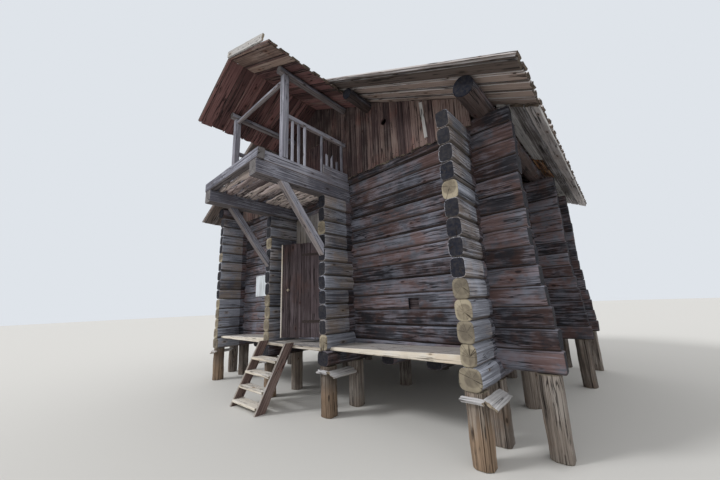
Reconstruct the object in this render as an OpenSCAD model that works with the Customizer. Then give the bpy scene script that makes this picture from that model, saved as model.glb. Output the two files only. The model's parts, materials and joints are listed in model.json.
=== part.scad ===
// A log granary that stands on posts: two rooms behind a recessed porch,
// with a gabled balcony over the porch and a board roof.
// +X runs along the front, +Y goes back into the building and +Z is up.
// The origin is on the ground, under the middle of the whole.

/* [Logs] */
// Height of one course of logs
course = 240; // [200:5:300]
// Thickness of the hewn logs
log_w = 200; // [180:5:230]
// Width of the stouter logs laid on the posts
sill_log_w = 280; // [240:5:320]
// Courses in the walls
courses = 14; // [13:1:15]
// Gap left between two logs and between a log and what it lies on
scribe = 0.3; // [0.2:0.1:1]

/* [Plan] */
// From the middle of the building to the centre line of a side wall
side_x = 3240; // [3000:10:3400]
// From the middle of the building to the centre line of a porch wall
porch_x = 860; // [820:10:1000]
// From the origin forward to the centre line of the front wall
front_y = 1950; // [1800:10:2100]
// From the origin back to the centre line of the middle wall
middle_y = 1300; // [1000:10:1600]
// From the origin back to the centre line of the back wall
back_y = 3000; // [2800:10:3200]

/* [Log ends] */
// How far the side and porch walls stand out in front of the front wall
front_horn = 770; // [650:10:850]
// How far the left and right ends of the cross walls pass the side walls, at the bottom
wing_horn = 780; // [600:10:850]
// How far the side walls pass the back wall
back_horn = 450; // [250:10:550]
// How much the wings draw in over their lowest courses
draw_in = 140; // [0:10:200]
// Courses over which the wings draw in
draw_courses = 6; // [3:1:8]
// How far the porch walls pass the front wall, inside the room
inner_horn = 300; // [200:10:400]

/* [Posts] */
// Height of the posts under the side and porch walls
post_h = 740; // [600:10:900]
// Width of a post
post_w = 225; // [200:5:260]
// Chamfer on the corners of a post
post_chamfer = 35; // [10:5:60]
// From the origin back to the middle row of posts
middle_posts_y = -420; // [-600:10:200]
// How far the front posts' faces stay behind the log ends above them
front_post_in = 20; // [0:5:60]
// From the tip of a wing in to the centre of the post under it
wing_post_in = 190; // [140:5:260]

/* [Mouse guards] */
// Length of the slanting board on the outer side of a front post
guard_l = 520; // [400:10:600]
// Width of that board
guard_w = 160; // [120:5:200]
// Width of the short board on the front of the post
front_guard_w = 70; // [50:5:120]
// Thickness of both boards
guard_t = 25; // [15:1:40]
// Slope of both boards
guard_tilt = 28; // [10:1:45]
// How far the long board is set back from the centre of its post
guard_shift = 130; // [80:5:150]
// From the ground to the upper edge of the guards
guard_z = 690; // [500:10:700]

/* [Doorway] */
// Clear width of the doorways through the log walls
doorway_w = 1100; // [950:10:1200]
// Courses of logs that a doorway cuts through
doorway_courses = 8; // [6:1:8]

/* [Door] */
// Width of the door leaf
leaf_w = 1050; // [900:10:1100]
// Height of the door leaf
leaf_h = 1790; // [1600:10:1800]
// Thickness of the boards of the door leaf
leaf_t = 40; // [25:1:50]
// How far the door stands open, in degrees from shut
leaf_open = 30; // [5:1:60]
// Running gap between the shut leaf and its frame
leaf_gap = 6; // [5:0.5:10]
// Width of the bars across the back of the leaf
bar_w = 130; // [80:5:180]
// Thickness of those bars
bar_t = 28; // [15:1:40]
// Radius of a hinge pin
pin_r = 7; // [5:0.5:10]
// Running gap between a hinge pin and the eye of its strap
pin_gap = 0.5; // [0.3:0.1:1]
// Thickness of the hinge straps
strap_t = 6; // [4:0.5:8]
// Height of the hinge straps
strap_h = 50; // [30:2:70]
// Length of the hinge straps on the leaf
strap_l = 620; // [300:10:800]

/* [Door screen] */
// Width of the door frame's timbers
frame_w = 100; // [80:5:120]
// Depth of the door frame's timbers
frame_d = 70; // [50:5:90]
// Height of the sill under the door
sill_h = 84; // [60:2:110]
// Thickness of the boards of the screen
screen_t = 25; // [18:1:40]

/* [Floors] */
// Thickness of the floor boards
floor_t = 50; // [30:1:60]
// How far short of the porch walls' centre lines the porch floor stops, housed in their logs
porch_floor_in = 15; // [5:1:25]
// How far the porch floor stands out past the log ends
porch_floor_out = 30; // [0:5:60]
// Width of the split planks laid along the foot of the front wall
ledge_w = 560; // [400:10:640]
// Thickness of such a plank at its thin end
ledge_thin = 50; // [40:5:80]
// Thickness of such a plank at its thick end
ledge_thick = 110; // [60:5:120]

/* [Balcony] */
// How far the balcony stands out in front of the front wall's centre line
balcony_out = 2060; // [1900:10:2200]
// Width of the lower side beams
beam_w = 200; // [160:5:240]
// Height of the lower side beams
beam_h = 235; // [180:5:240]
// Width of the upper side beams
upper_beam_w = 120; // [90:5:140]
// Height of the upper side beams
upper_beam_h = 170; // [140:5:180]
// How far the side beams' outer faces stand out past the porch walls' centre lines
beam_out = 70; // [60:5:90]
// Number of poles in the balcony's deck
deck_poles = 11; // [8:1:12]
// Width of a deck pole
pole_w = 135; // [80:5:140]
// Thickness of a deck pole
pole_t = 80; // [50:5:100]
// Section of the knee braces
brace_w = 120; // [80:5:150]
// From the underside of the lower beams down to the foot of a brace
brace_drop = 1000; // [700:10:1300]
// Width of the balcony's posts
balcony_post_w = 110; // [90:5:130]
// From the front of the balcony back to the centre of its posts
balcony_post_in = 500; // [300:10:600]
// Diameter of the tie pole across the posts
tie_d = 80; // [60:5:100]
// Diameter of the plates under the balcony's roof
plate_d = 130; // [100:5:140]
// How far the plates stand out in front of the posts' centres
plate_out = 130; // [80:10:400]

/* [Balcony rail] */
// Height of the rail above the side beams
rail_h = 840; // [700:10:1000]
// Height of the rail itself
rail_t = 75; // [50:5:90]
// Width of the rail
rail_w = 60; // [40:5:80]
// Width of a baluster
baluster_w = 38; // [25:1:50]
// Clear gap between the post and the nearest baluster, and between balusters
baluster_gap = 90; // [60:5:110]
// Clear width of the place where balusters are lost
lost_gap = 350; // [250:10:400]
// Height of the three broken balusters
broken_h = 460; // [300:10:600]

// Length of the short boards on edge beside the balusters
toe_l = 620; // [400:10:800]
// Height of those boards
toe_h = 170; // [100:5:200]
// Thickness of those boards
toe_t = 28; // [20:1:30]

/* [Roof] */
// Slope of the main roof
roof_pitch = 26.5; // [25:0.5:28]
// From the side walls' centre lines out to the eaves
eave_out = 990; // [900:10:1060]
// Thickness of the roof's two layers of boards
roof_t = 60; // [40:2:80]
// Thickness of the open boards that lie over the seams of a roof's closed layer
upper_board_t = 26; // [20:1:34]
// Width of those boards
upper_board_w = 150; // [100:5:180]
// About how far it is from one of those boards to the next
upper_board_step = 205; // [190:5:260]
// How far the roof stands out in front of the front wall's centre line
roof_front = 950; // [850:10:1050]
// How far the roof stands out behind the back wall's centre line
roof_back = 1150; // [1000:10:1250]
// Diameter of the eave purlins
eave_purlin_d = 280; // [200:5:300]
// From the side walls' centre lines out to the centres of the eave purlins
eave_purlin_out = 290; // [260:5:350]
// How deep the eave purlins are let into the top logs of the cross walls
eave_purlin_in = 30; // [15:5:60]
// How far the purlins stay behind the front edge of the roof
purlin_back = 240; // [100:10:400]
// Diameter of the middle purlins and of the ridge pole
purlin_d = 200; // [160:5:220]
// Clear gap between the balcony roof's eaves and the middle purlins
mid_purlin_gap = 40; // [20:5:200]
// Width of the posts that carry the purlins
roof_post_w = 140; // [100:5:160]
// Long planks side by side under each eave
eave_plank_count = 3; // [1:1:3]
// Width of the long planks under the eaves
eave_plank_w = 190; // [120:5:220]
// Thickness of the long planks under the eaves
eave_plank_t = 40; // [25:1:50]
// From the edge of the eaves in to those planks
eave_plank_in = 20; // [10:5:50]

/* [Balcony roof] */
// Slope of the balcony's roof
balcony_pitch = 25; // [23:0.5:26]
// From the middle of the building to the eaves of the balcony's roof
balcony_eave_x = 1375; // [1300:5:1400]
// How closely the balcony's roof passes under the main roof, at its own eaves
tuck = 27; // [15:1:60]
// How far the board on the balcony roof's front edge stands out from the front wall's centre line
balcony_roof_front = 2200; // [2150:10:2300]
// Thickness of the balcony roof's two layers of boards
balcony_roof_t = 50; // [44:2:60]
// Height of the board on the front edge of the right slope
barge_h = 130; // [100:5:160]
// Thickness of that board
barge_t = 30; // [20:1:40]
// How far that board reaches from the ridge
barge_l = 1230; // [1000:10:1300]
// How much flatter than the roof that board was nailed on, in degrees
barge_lift = 2; // [0:0.5:3]

/* [Vent] */
// Width of the square vent in the right part of the front wall
vent_w = 180; // [120:5:200]
// Height of the vent
vent_h = 170; // [120:5:180]
// From the middle of the building to the middle of the vent
vent_x = 2200; // [1500:10:2600]
// The course of logs that the vent is cut through, counted from the sill
vent_course = 3; // [2:1:6]
// Thickness of the block that closes the vent
vent_block_t = 50; // [25:1:60]
// From the wall's outer face in to that block
vent_block_in = 45; // [20:5:100]

/* [Gables] */
// Thickness of the gable boards
gable_t = 30; // [20:1:40]
// Width of the upper door
upper_door_w = 720; // [500:10:900]
// Height of the upper door
upper_door_h = 980; // [700:10:1050]
// Diameter of the round hole in the gable
owl_hole_d = 120; // [60:5:160]
// From the middle of the building to the round hole
owl_hole_x = 1870; // [1700:10:2000]
// From the top log of the front wall up to the round hole
owl_hole_up = 690; // [500:10:720]
// How far the gable boards reach down over the top log
gable_lap = 85; // [80:5:100]

/* [Ladder] */
// Width of the ladder over its side boards
ladder_w = 880; // [600:10:900]
// From the middle of the building to the middle of the ladder's head
ladder_x = 320; // [200:10:320]
// How far the ladder's foot stands in front of its head
ladder_run = 400; // [300:10:600]
// How far the ladder leans sideways over its height
ladder_lean = 200; // [0:10:240]
// Width of the side boards
stringer_w = 170; // [120:5:200]
// Thickness of the side boards
stringer_t = 45; // [30:1:60]
// How far the side boards stand up past the porch floor
stringer_up = 40; // [0:5:80]
// Treads between the foot and the head
treads = 4; // [3:1:5]
// Depth of a tread
tread_w = 210; // [150:5:240]
// Thickness of a tread
tread_t = 40; // [25:1:50]

/* [Notice board] */
// Width of the bare board on the left part of the front wall
notice_w = 700; // [300:10:800]
// Height of that board
notice_h = 520; // [300:10:600]
// Thickness of that board
notice_t = 12; // [6:1:20]
// From the middle of the building to the middle of that board
notice_x = 2160; // [2000:10:2300]
// From the ground to the middle of that board
notice_z = 2230; // [1800:10:2600]

/* [Hidden] */

// Gap left where two pieces pass each other without touching
clear = 5;

// How far a cutting block reaches past the face that it cuts
cut = 2;

// Sides of what is drawn round
round_sides = 48;

// Colours, by finish
old_log = [0.36, 0.33, 0.30];
old_board = [0.36, 0.25, 0.23];
grey_board = [0.50, 0.48, 0.46];
pale_board = [0.74, 0.68, 0.56];
post_wood = [0.52, 0.40, 0.28];
rusty_iron = [0.22, 0.17, 0.14];
painted_board = [0.80, 0.82, 0.84];

// A log's section is a rectangle with well rounded corners
log_sides = 16;
log_half = (course - scribe) / 2;
log_face = log_w / 2;
function rounded(v) = sign(v) * pow(abs(v), 2 / 3);
log_flat = rounded(cos(180 / log_sides));
function log_profile(w, grow) = [
    for (i = [0:log_sides - 1])
        let (a = 360 * (i + 0.5) / log_sides)
        [(w / 2 + grow) * rounded(cos(a)) / log_flat,
         (log_half + grow) * rounded(sin(a)) / log_flat]
];

// Centre heights of the logs that run front to back, and left to right
function lengthwise_z(k) = post_h + course * (k + 0.5);
function crosswise_z(k) = lengthwise_z(k) + course / 2;
function lengthwise_w(k) = k == 0 ? sill_log_w : log_w;

// Tips of the wings: long below, drawn in above
function wing_x(k) = side_x + wing_horn - draw_in * min(k, draw_courses) / draw_courses;

top = courses - 1;
porch_courses = 12;
vent_z = crosswise_z(vent_course) - log_half;
wall_top_z = crosswise_z(top) + log_half;

// Courses cut by the doorways: the bottom log stays whole as the sill
first_cut = 1;
last_cut = doorway_courses;

// Bearers lie at a third and at two thirds of the way from a porch wall's line to a side wall
bearers = [for (i = [1, 2]) porch_x + (side_x - porch_x) * i / 3];

// The heights of the balcony's beams follow the porch walls that carry them
beam_z = lengthwise_z(porch_courses - 1) + log_half + scribe;
upper_beam_z = beam_z + beam_h + scribe;
balcony_front = -front_y - balcony_out;
beam_outer_x = porch_x + beam_out;
beam_inner_x = beam_outer_x - beam_w;
front_beam_out = 40;
deck_gap = 30;
balcony_top_z = upper_beam_z + upper_beam_h;

// The roof lies on the eave purlins, which are let into the wings' top logs
function roof_drop(x, pitch) = abs(x) * tan(pitch);
function purlin_z(x, d, pitch, ridge) =
    ridge - roof_drop(x, pitch) - (d / 2 + scribe) / cos(pitch);
eave_x = side_x + eave_out;
eave_purlin_x = side_x + eave_purlin_out;
eave_purlin_z = wall_top_z - eave_purlin_in + eave_purlin_d / 2;
mid_purlin_x = balcony_eave_x + mid_purlin_gap + purlin_d / 2;
ridge_under_z = eave_purlin_z + (eave_purlin_d / 2 + scribe) / cos(roof_pitch)
    + roof_drop(eave_purlin_x, roof_pitch);
function roof_under(x) = ridge_under_z - roof_drop(x, roof_pitch);
mid_purlin_z = purlin_z(mid_purlin_x, purlin_d, roof_pitch, ridge_under_z);
ridge_pole_z = purlin_z(0, purlin_d, roof_pitch, ridge_under_z);
roof_front_y = -front_y - roof_front;
roof_back_y = back_y + roof_back;
purlin_front_y = roof_front_y + purlin_back;
purlin_back_y = roof_back_y - purlin_back;

// The balcony's roof passes under the main roof, and a board covers its front edge
balcony_under_z = roof_under(balcony_eave_x) - tuck - balcony_roof_t / cos(balcony_pitch)
    + roof_drop(balcony_eave_x, balcony_pitch);
barge_y = -front_y - balcony_roof_front;
balcony_roof_y = barge_y + barge_t + scribe;

// Gable boards are nailed to the outside of the top log and stand up to the roof
gable_back = log_face + scribe;
gable_face = gable_back + gable_t;
gable_half = eave_purlin_x - eave_purlin_d / 2 - clear;
upper_door_up = 20;
upper_door_z = wall_top_z + upper_door_up;

// Floors lie on the bearers' flat tops
floor_z = lengthwise_z(0) + log_half + scribe;
floor_top_z = floor_z + floor_t;
wall_face = log_face + clear;

// The door frame stands in the porch, between the porch walls
frame_back = -front_y - log_face - scribe;
frame_front = frame_back - frame_d;
leaf_back = frame_front - leaf_gap;
leaf_front = leaf_back - leaf_t;
leaf_z = floor_top_z + sill_h + leaf_gap;
jamb_inner = leaf_w / 2 - frame_w / 2;
jamb_outer = jamb_inner + frame_w;
recess_half = porch_x - log_face - clear;
lintel_z = leaf_z + leaf_h - frame_w / 2;
screen_top = beam_z - clear;
hinge_out = 15;
hinge_x = leaf_w / 2 + hinge_out;
strap_in = 260;
strap_levels = [leaf_z + strap_in, leaf_z + leaf_h - strap_in];
bar_in = 40;

// The ladder leans on the front edge of the porch floor
porch_front = -front_y - front_horn - porch_floor_out;
ladder_head_y = porch_front - scribe;
function ladder_back(z) = ladder_head_y - ladder_run * (1 - z / floor_top_z);

// Front posts stand flush with the ends of the bottom logs
front_post_y = -front_y - front_horn + post_w / 2 + front_post_in;

// A log that runs front to back, centred over x in course k
module lengthwise(x, k, from, to, grow = 0)
    translate([x, to, lengthwise_z(k)])
        rotate([90, 0, 0])
            linear_extrude(to - from)
                polygon(log_profile(lengthwise_w(k), grow));

// A log that runs left to right, centred over y in course k
module crosswise(y, k, from, to, grow = 0)
    translate([from, y, crosswise_z(k)])
        rotate([90, 0, 90])
            linear_extrude(to - from)
                polygon(log_profile(log_w, grow));

// Saddle notches in the underside of a lengthwise log, over the cross walls at ys
module notched_lengthwise(x, k, from, to, ys)
    difference() {
        lengthwise(x, k, from, to);
        if (k > 0)
            for (y = ys)
                crosswise(y, k - 1, x - log_w, x + log_w, scribe);
    }

// Saddle notches in the underside of a crosswise log, over the walls at xs
module notched_crosswise(y, k, from, to, xs)
    difference() {
        crosswise(y, k, from, to);
        for (x = xs)
            lengthwise(x, k, y - log_w, y + log_w, scribe);
        if (k >= porch_courses - 1)
            beam_pockets(y);
        if (k == top)
            for (s = [-1, 1])
                eave_purlin(s, scribe);
    }

// Everything that lies under course k of a cross wall
function both(xs) = concat(xs, -xs);
function under_cross(k) = both(concat([side_x], k == 0 ? concat([porch_x], bearers) : []));
function under_front(k) = both(concat([side_x], k < porch_courses ? [porch_x] : [],
                                      k == 0 ? bearers : []));

module side_wall(s)
    color(old_log)
        for (k = [0:top])
            difference() {
                notched_lengthwise(s * side_x, k, -front_y - front_horn, back_y + back_horn,
                                   [-front_y, middle_y, back_y]);
                if (k == 1)
                    ledge_plank(s, scribe);
            }

module porch_wall(s)
    color(old_log)
        for (k = [1:porch_courses - 1])
            difference() {
                notched_lengthwise(s * porch_x, k,
                    -front_y - front_horn, -front_y + inner_horn, [-front_y]);
                if (k == 1) {
                    porch_floor_boards(scribe);
                    ledge_plank(s, scribe);
                }
            }

// The part of the front wall beside the doorway
module front_wall_part(s)
    color(old_log)
        for (k = [first_cut:last_cut])
            difference() {
                notched_crosswise(-front_y, k,
                    s > 0 ? doorway_w / 2 : -wing_x(k),
                    s > 0 ? wing_x(k) : -doorway_w / 2,
                    under_front(k));
                if (s > 0 && k == vent_course)
                    translate([vent_x - vent_w / 2, -front_y - log_w, vent_z - cut])
                        cube([vent_w, 2 * log_w, vent_h + cut]);
            }

// A block of wood closes the vent, some way in
module vent_block()
    color(old_board)
        translate([vent_x - vent_w / 2 + scribe, -front_y - log_face + vent_block_in, vent_z])
            cube([vent_w - 2 * scribe, vent_block_t, vent_h - scribe]);

module front_wall_upper()
    color(old_log)
        for (k = [0, each [last_cut + 1:top]])
            notched_crosswise(-front_y, k, -wing_x(k), wing_x(k), under_front(k));

module middle_wall()
    color(old_log) {
        for (k = [0, each [last_cut + 1:top]])
            notched_crosswise(middle_y, k, -wing_x(k), wing_x(k), under_cross(k));
        for (k = [first_cut:last_cut]) {
            notched_crosswise(middle_y, k, -wing_x(k), -doorway_w / 2, under_cross(k));
            notched_crosswise(middle_y, k, doorway_w / 2, wing_x(k), under_cross(k));
        }
    }

module back_wall()
    color(old_log)
        for (k = [0:top])
            notched_crosswise(back_y, k, -wing_x(k), wing_x(k), under_cross(k));

module floor_bearers()
    color(old_log)
        for (s = [-1, 1]) {
            notched_lengthwise(s * porch_x, 0, -front_y - front_horn, back_y + back_horn, []);
            for (x = bearers)
                notched_lengthwise(s * x, 0, -front_y - log_face, back_y + log_face, []);
        }

// A hewn post with chamfered corners
module post(x, y, h) {
    a = post_w / 2;
    b = a - post_chamfer;
    translate([x, y, 0])
        linear_extrude(h - scribe)
            polygon([[-a, -b], [-b, -a], [b, -a], [a, -b], [a, b], [b, a], [-b, a], [-a, b]]);
}

module front_posts()
    color(post_wood)
        for (s = [-1, 1], x = [porch_x, side_x])
            post(s * x, front_post_y, post_h);

module middle_posts()
    color(post_wood)
        for (s = [-1, 1], x = [porch_x, side_x], y = [-front_y, middle_posts_y])
            post(s * x, y, post_h);

module back_posts()
    color(post_wood)
        for (s = [-1, 1], x = concat([porch_x, side_x], bearers), y = [middle_y, back_y])
            post(s * x, y, post_h);

module wing_posts()
    color(post_wood)
        for (s = [-1, 1], y = [-front_y, middle_y, back_y])
            post(s * (wing_x(0) - wing_post_in), y, post_h + course / 2);

// A slanting board whose upper edge meets the face of a post
module guard(length, width)
    rotate([guard_tilt, 0, 0])
        translate([-length / 2, -width, 0])
            cube([length, width, guard_t]);

module mouse_guards()
    color(grey_board)
        for (s = [-1, 1], x = [porch_x, side_x])
            translate([s * x, front_post_y, guard_z - guard_t]) {
                translate([0, -post_w / 2 - scribe, 0])
                    guard(post_w, front_guard_w);
                rotate([0, 0, s * 90])
                    translate([s * guard_shift, -post_w / 2 - scribe, 0])
                        guard(guard_l, guard_w);
            }

// Floor boards between two cross walls
module room_floor(from, to)
    color(pale_board)
        translate([-side_x + wall_face, from + wall_face, floor_z])
            cube([2 * (side_x - wall_face), to - from - 2 * wall_face, floor_t]);

module front_room_floor()
    difference() {
        room_floor(-front_y, middle_y);
        for (s = [-1, 1])
            translate([s * porch_x - wall_face, -front_y, floor_z - cut])
                cube([2 * wall_face, inner_horn + clear, floor_t + 2 * cut]);
    }
module back_room_floor() room_floor(middle_y, back_y);

// The porch floor's ends lie in a housing between the two lowest logs of the porch walls
module porch_floor_boards(grow = 0)
    translate([-porch_x + porch_floor_in - grow, porch_front - grow, floor_z - grow])
        cube([2 * (porch_x - porch_floor_in + grow),
              -front_y - wall_face - porch_front + 2 * grow, floor_t + 2 * grow]);

module porch_floor() color(pale_board) porch_floor_boards();

// A split plank along the foot of the front wall, housed as the porch floor is
module ledge_plank(s, grow = 0) {
    inner = porch_x + porch_floor_in;
    outer = side_x - porch_floor_in;
    inner_t = s > 0 ? ledge_thin : ledge_thick;
    outer_t = s > 0 ? ledge_thick : ledge_thin;
    mirror([s < 0 ? 1 : 0, 0, 0])
        translate([0, -front_y - wall_face + grow, floor_z])
            rotate([90, 0, 0])
                linear_extrude(ledge_w + 2 * grow)
                    polygon([[inner - grow, -grow], [outer + grow, -grow],
                             [outer + grow, outer_t + grow], [inner - grow, inner_t + grow]]);
}

module ledge(s) color(pale_board) ledge_plank(s);

module door_frame()
    color(grey_board)
        difference() {
            translate([-jamb_outer, frame_front, floor_top_z + scribe])
                cube([2 * jamb_outer, frame_d, lintel_z + frame_w - floor_top_z]);
            translate([-jamb_inner, frame_front - cut, floor_top_z + sill_h])
                cube([2 * jamb_inner, frame_d + 2 * cut, lintel_z - floor_top_z - sill_h]);
        }

module door_screen()
    color(grey_board) {
        y = frame_back - screen_t;
        for (s = [-1, 1])
            translate([s > 0 ? jamb_outer + scribe : -recess_half, y, floor_top_z + scribe])
                cube([recess_half - jamb_outer - scribe, screen_t, screen_top - floor_top_z]);
        translate([-jamb_outer, y, lintel_z + frame_w + 2 * scribe])
            cube([2 * jamb_outer, screen_t, screen_top - lintel_z - frame_w - 2 * scribe]);
    }

// What is drawn shut here is turned open about the hinge pins
module swung_open()
    translate([hinge_x, leaf_front, 0])
        rotate([0, 0, leaf_open])
            translate([-hinge_x, -leaf_front, 0])
                children();

module door_leaf()
    color(old_board)
        swung_open()
            translate([-leaf_w / 2, leaf_front, leaf_z])
                cube([leaf_w, leaf_t, leaf_h]);

module door_bars()
    color(old_board)
        swung_open()
            for (z = [leaf_z + bar_w, leaf_z + leaf_h - 2 * bar_w])
                translate([-jamb_inner + bar_in, leaf_back + scribe, z])
                    cube([2 * (jamb_inner - bar_in), bar_t, bar_w]);

module door_straps()
    color(rusty_iron)
        swung_open()
            for (z = strap_levels)
                difference() {
                    union() {
                        translate([hinge_x, leaf_front, z])
                            cylinder(r = pin_r + pin_gap + strap_t, h = strap_h, $fn = round_sides);
                        translate([hinge_x - strap_l, leaf_front - strap_t - scribe, z])
                            cube([strap_l, strap_t, strap_h]);
                    }
                    translate([hinge_x, leaf_front, z - cut])
                        cylinder(r = pin_r + pin_gap, h = strap_h + 2 * cut, $fn = round_sides);
                }

module door_pintles()
    color(rusty_iron)
        for (z = strap_levels)
            translate([hinge_x, leaf_front, z - 2 * (pin_gap + pin_r)]) {
                cylinder(r = pin_r, h = strap_h + 2 * pin_r, $fn = round_sides);
                translate([-pin_r, 0, 0])
                    cube([2 * pin_r, frame_front - leaf_front - scribe, 2 * pin_r]);
            }

// What lies between two sideways leaning planes, x0 and x1 from the middle of the ladder
ladder_low = -stringer_up;
ladder_high = floor_top_z + 2 * stringer_up;
ladder_left = -ladder_x - ladder_w - ladder_lean;
module racked(x0, x1) {
    function shift(z) = ladder_lean * (z / floor_top_z - 1);
    translate([-ladder_x, ladder_head_y + cut, 0])
        rotate([90, 0, 0])
            linear_extrude(2 * floor_top_z)
                polygon([[x0 + shift(ladder_low), ladder_low], [x1 + shift(ladder_low), ladder_low],
                         [x1 + shift(ladder_high), ladder_high], [x0 + shift(ladder_high), ladder_high]]);
}

// The side boards lean from the ground to the edge of the porch floor
module ladder_sides() {
    high = floor_top_z + stringer_up;
    depth = stringer_w * norm([floor_top_z, ladder_run]) / floor_top_z;
    color(pale_board)
        for (s = [-1, 1])
            intersection() {
                racked(s * ladder_w / 2 - (s > 0 ? stringer_t : 0),
                       s * ladder_w / 2 + (s > 0 ? 0 : stringer_t));
                translate([ladder_left, 0, 0])
                    rotate([90, 0, 90])
                        linear_extrude(2 * ladder_w)
                            polygon([[ladder_back(0), 0], [ladder_head_y, floor_top_z],
                                     [ladder_head_y, high], [ladder_back(high) - depth, high],
                                     [ladder_back(0) - depth, 0]]);
            }
}

module ladder_treads() {
    half = ladder_w / 2 - stringer_t - scribe;
    color(pale_board)
        for (i = [1:treads]) {
            z = floor_top_z * (i - 0.5) / (treads + 0.5);
            intersection() {
                racked(-half, half);
                translate([ladder_left, ladder_back(z) - tread_w - clear, z - tread_t])
                    cube([2 * ladder_w, tread_w, tread_t]);
            }
        }
}

module beam_pockets(y)
    if (y < 0)
        for (s = [-1, 1])
            translate([s > 0 ? beam_inner_x - scribe : -beam_outer_x - scribe,
                       y - log_w, beam_z - scribe])
                cube([beam_w + 2 * scribe, 2 * log_w, beam_h + 2 * scribe]);

// Lower side beams: they run on into the building and are held down by its front wall
module balcony_beams()
    color(grey_board)
        for (s = [-1, 1])
            translate([s > 0 ? beam_inner_x : -beam_outer_x, balcony_front, beam_z])
                cube([beam_w, middle_y - log_face - scribe - balcony_front, beam_h]);

// Upper side beams, with the beam along the front edge
module balcony_side_rails()
    color(grey_board) {
        for (s = [-1, 1])
            translate([s > 0 ? beam_outer_x - upper_beam_w : -beam_outer_x,
                       balcony_front + upper_beam_w + scribe, upper_beam_z])
                cube([upper_beam_w,
                      -front_y - log_face - balcony_front - upper_beam_w - 2 * scribe,
                      upper_beam_h]);
        translate([-beam_outer_x - front_beam_out, balcony_front, upper_beam_z])
            cube([2 * (beam_outer_x + front_beam_out), upper_beam_w, upper_beam_h]);
    }

module balcony_deck() {
    half = beam_outer_x - upper_beam_w - clear;
    first = balcony_front + upper_beam_w + deck_gap;
    last = -front_y - log_face - deck_gap - pole_w;
    color(pale_board)
        for (i = [0:deck_poles - 1])
            translate([-half, first + (last - first) * i / (deck_poles - 1), upper_beam_z])
                cube([2 * half, pole_w, pole_t]);
}

module balcony_braces() {
    foot_y = -front_y - front_horn - scribe;
    head_y = balcony_front + balcony_post_in;
    foot_z = beam_z - brace_drop;
    angle = atan2(brace_drop, foot_y - head_y);
    length = norm([brace_drop, foot_y - head_y]);
    color(grey_board)
        for (s = [-1, 1])
            translate([s * (beam_outer_x - brace_w / 2) - brace_w / 2, 0, 0])
                intersection() {
                    translate([0, foot_y, foot_z])
                        rotate([-angle, 0, 0])
                            translate([0, -length - brace_drop, -brace_w / 2])
                                cube([brace_w, length + 2 * brace_drop, brace_w]);
                    translate([-cut, balcony_front, foot_z - brace_drop])
                        cube([brace_w + 2 * cut, foot_y - balcony_front, 2 * brace_drop - scribe]);
                }
}

balcony_post_y = balcony_front + balcony_post_in;
balcony_post_x = beam_outer_x - balcony_post_w / 2;
plate_z = purlin_z(balcony_post_x, plate_d, balcony_pitch, balcony_under_z);
post_cup = 13;
post_top_z = plate_z - plate_d / 2 + post_cup;

// The posts' heads are hollowed for the round plates
module balcony_posts()
    color(grey_board)
        for (s = [-1, 1])
            difference() {
                translate([s * balcony_post_x - balcony_post_w / 2,
                           balcony_post_y - balcony_post_w / 2, balcony_top_z + scribe])
                    cube([balcony_post_w, balcony_post_w, post_top_z - balcony_top_z - scribe]);
                balcony_plate(s, scribe);
            }

module balcony_tie() {
    half = balcony_post_x - balcony_post_w / 2 - scribe;
    color(grey_board)
        translate([-half, balcony_post_y, post_top_z - tie_d])
            rotate([0, 90, 0])
                cylinder(d = tie_d, h = 2 * half, $fn = round_sides);
}

module balcony_plate(s, grow = 0)
    round_purlin(s * balcony_post_x, plate_z, plate_d,
                 balcony_post_y - plate_out, -front_y - gable_face - scribe, grow);

module balcony_plates()
    color(grey_board)
        for (s = [-1, 1])
            balcony_plate(s);

rail_z = balcony_top_z + rail_h;
rail_from = balcony_post_y + balcony_post_w / 2 + scribe;
rail_to = -front_y - gable_face - scribe;

module balcony_rails()
    color(grey_board)
        for (s = [-1, 1])
            translate([s * balcony_post_x - rail_w / 2, rail_from, rail_z - rail_t])
                cube([rail_w, rail_to - rail_from, rail_t]);

// Balusters from front to back: some are lost after the first group, and some are broken short
first_group = 3;
broken = [4, 5, 6];
last_baluster = 7;
function baluster_y(i) = rail_from + i * baluster_w + (i + 1) * baluster_gap
    + (i >= first_group ? lost_gap - baluster_gap : 0);
function is_broken(i) = len(search(i, broken)) > 0;

module balusters()
    color(grey_board)
        for (s = [-1, 1], i = [0:last_baluster])
            translate([s * balcony_post_x - baluster_w / 2, baluster_y(i), balcony_top_z + scribe])
                cube([baluster_w, baluster_w,
                      is_broken(i) ? broken_h : rail_h - rail_t - 2 * scribe]);

// A short board set on edge on each upper side beam, outside the balusters
module toe_boards()
    color(grey_board)
        for (s = [-1, 1])
            translate([s > 0 ? beam_outer_x - toe_t : -beam_outer_x, rail_to - toe_l,
                       balcony_top_z + scribe])
                cube([toe_t, toe_l, toe_h]);

// Boards that run down a slope: near and far are how far they start and end from the ridge,
// low and high how far their faces lie above the underside of the roof, all seen from the front
module sloping(under, pitch, near, far, low, high, from, to)
    translate([0, to, 0])
        rotate([90, 0, 0])
            linear_extrude(to - from)
                polygon([[near, under - roof_drop(near, pitch) + low],
                         [far, under - roof_drop(far, pitch) + low],
                         [far, under - roof_drop(far, pitch) + high],
                         [near, under - roof_drop(near, pitch) + high]]);

// One slope of a roof: a closed layer of boards, and open boards over its seams
module slope(s, under, pitch, thick, from, to, eave) {
    closed = (thick - upper_board_t) / cos(pitch);
    span = to - from - upper_board_w;
    steps = round(span / upper_board_step);
    mirror([s < 0 ? 1 : 0, 0, 0]) {
        sloping(under, pitch, scribe, eave, 0, closed, from, to);
        for (i = [0:steps])
            sloping(under, pitch, scribe, eave, closed / 2, thick / cos(pitch),
                    from + span * i / steps, from + span * i / steps + upper_board_w);
    }
}

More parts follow.
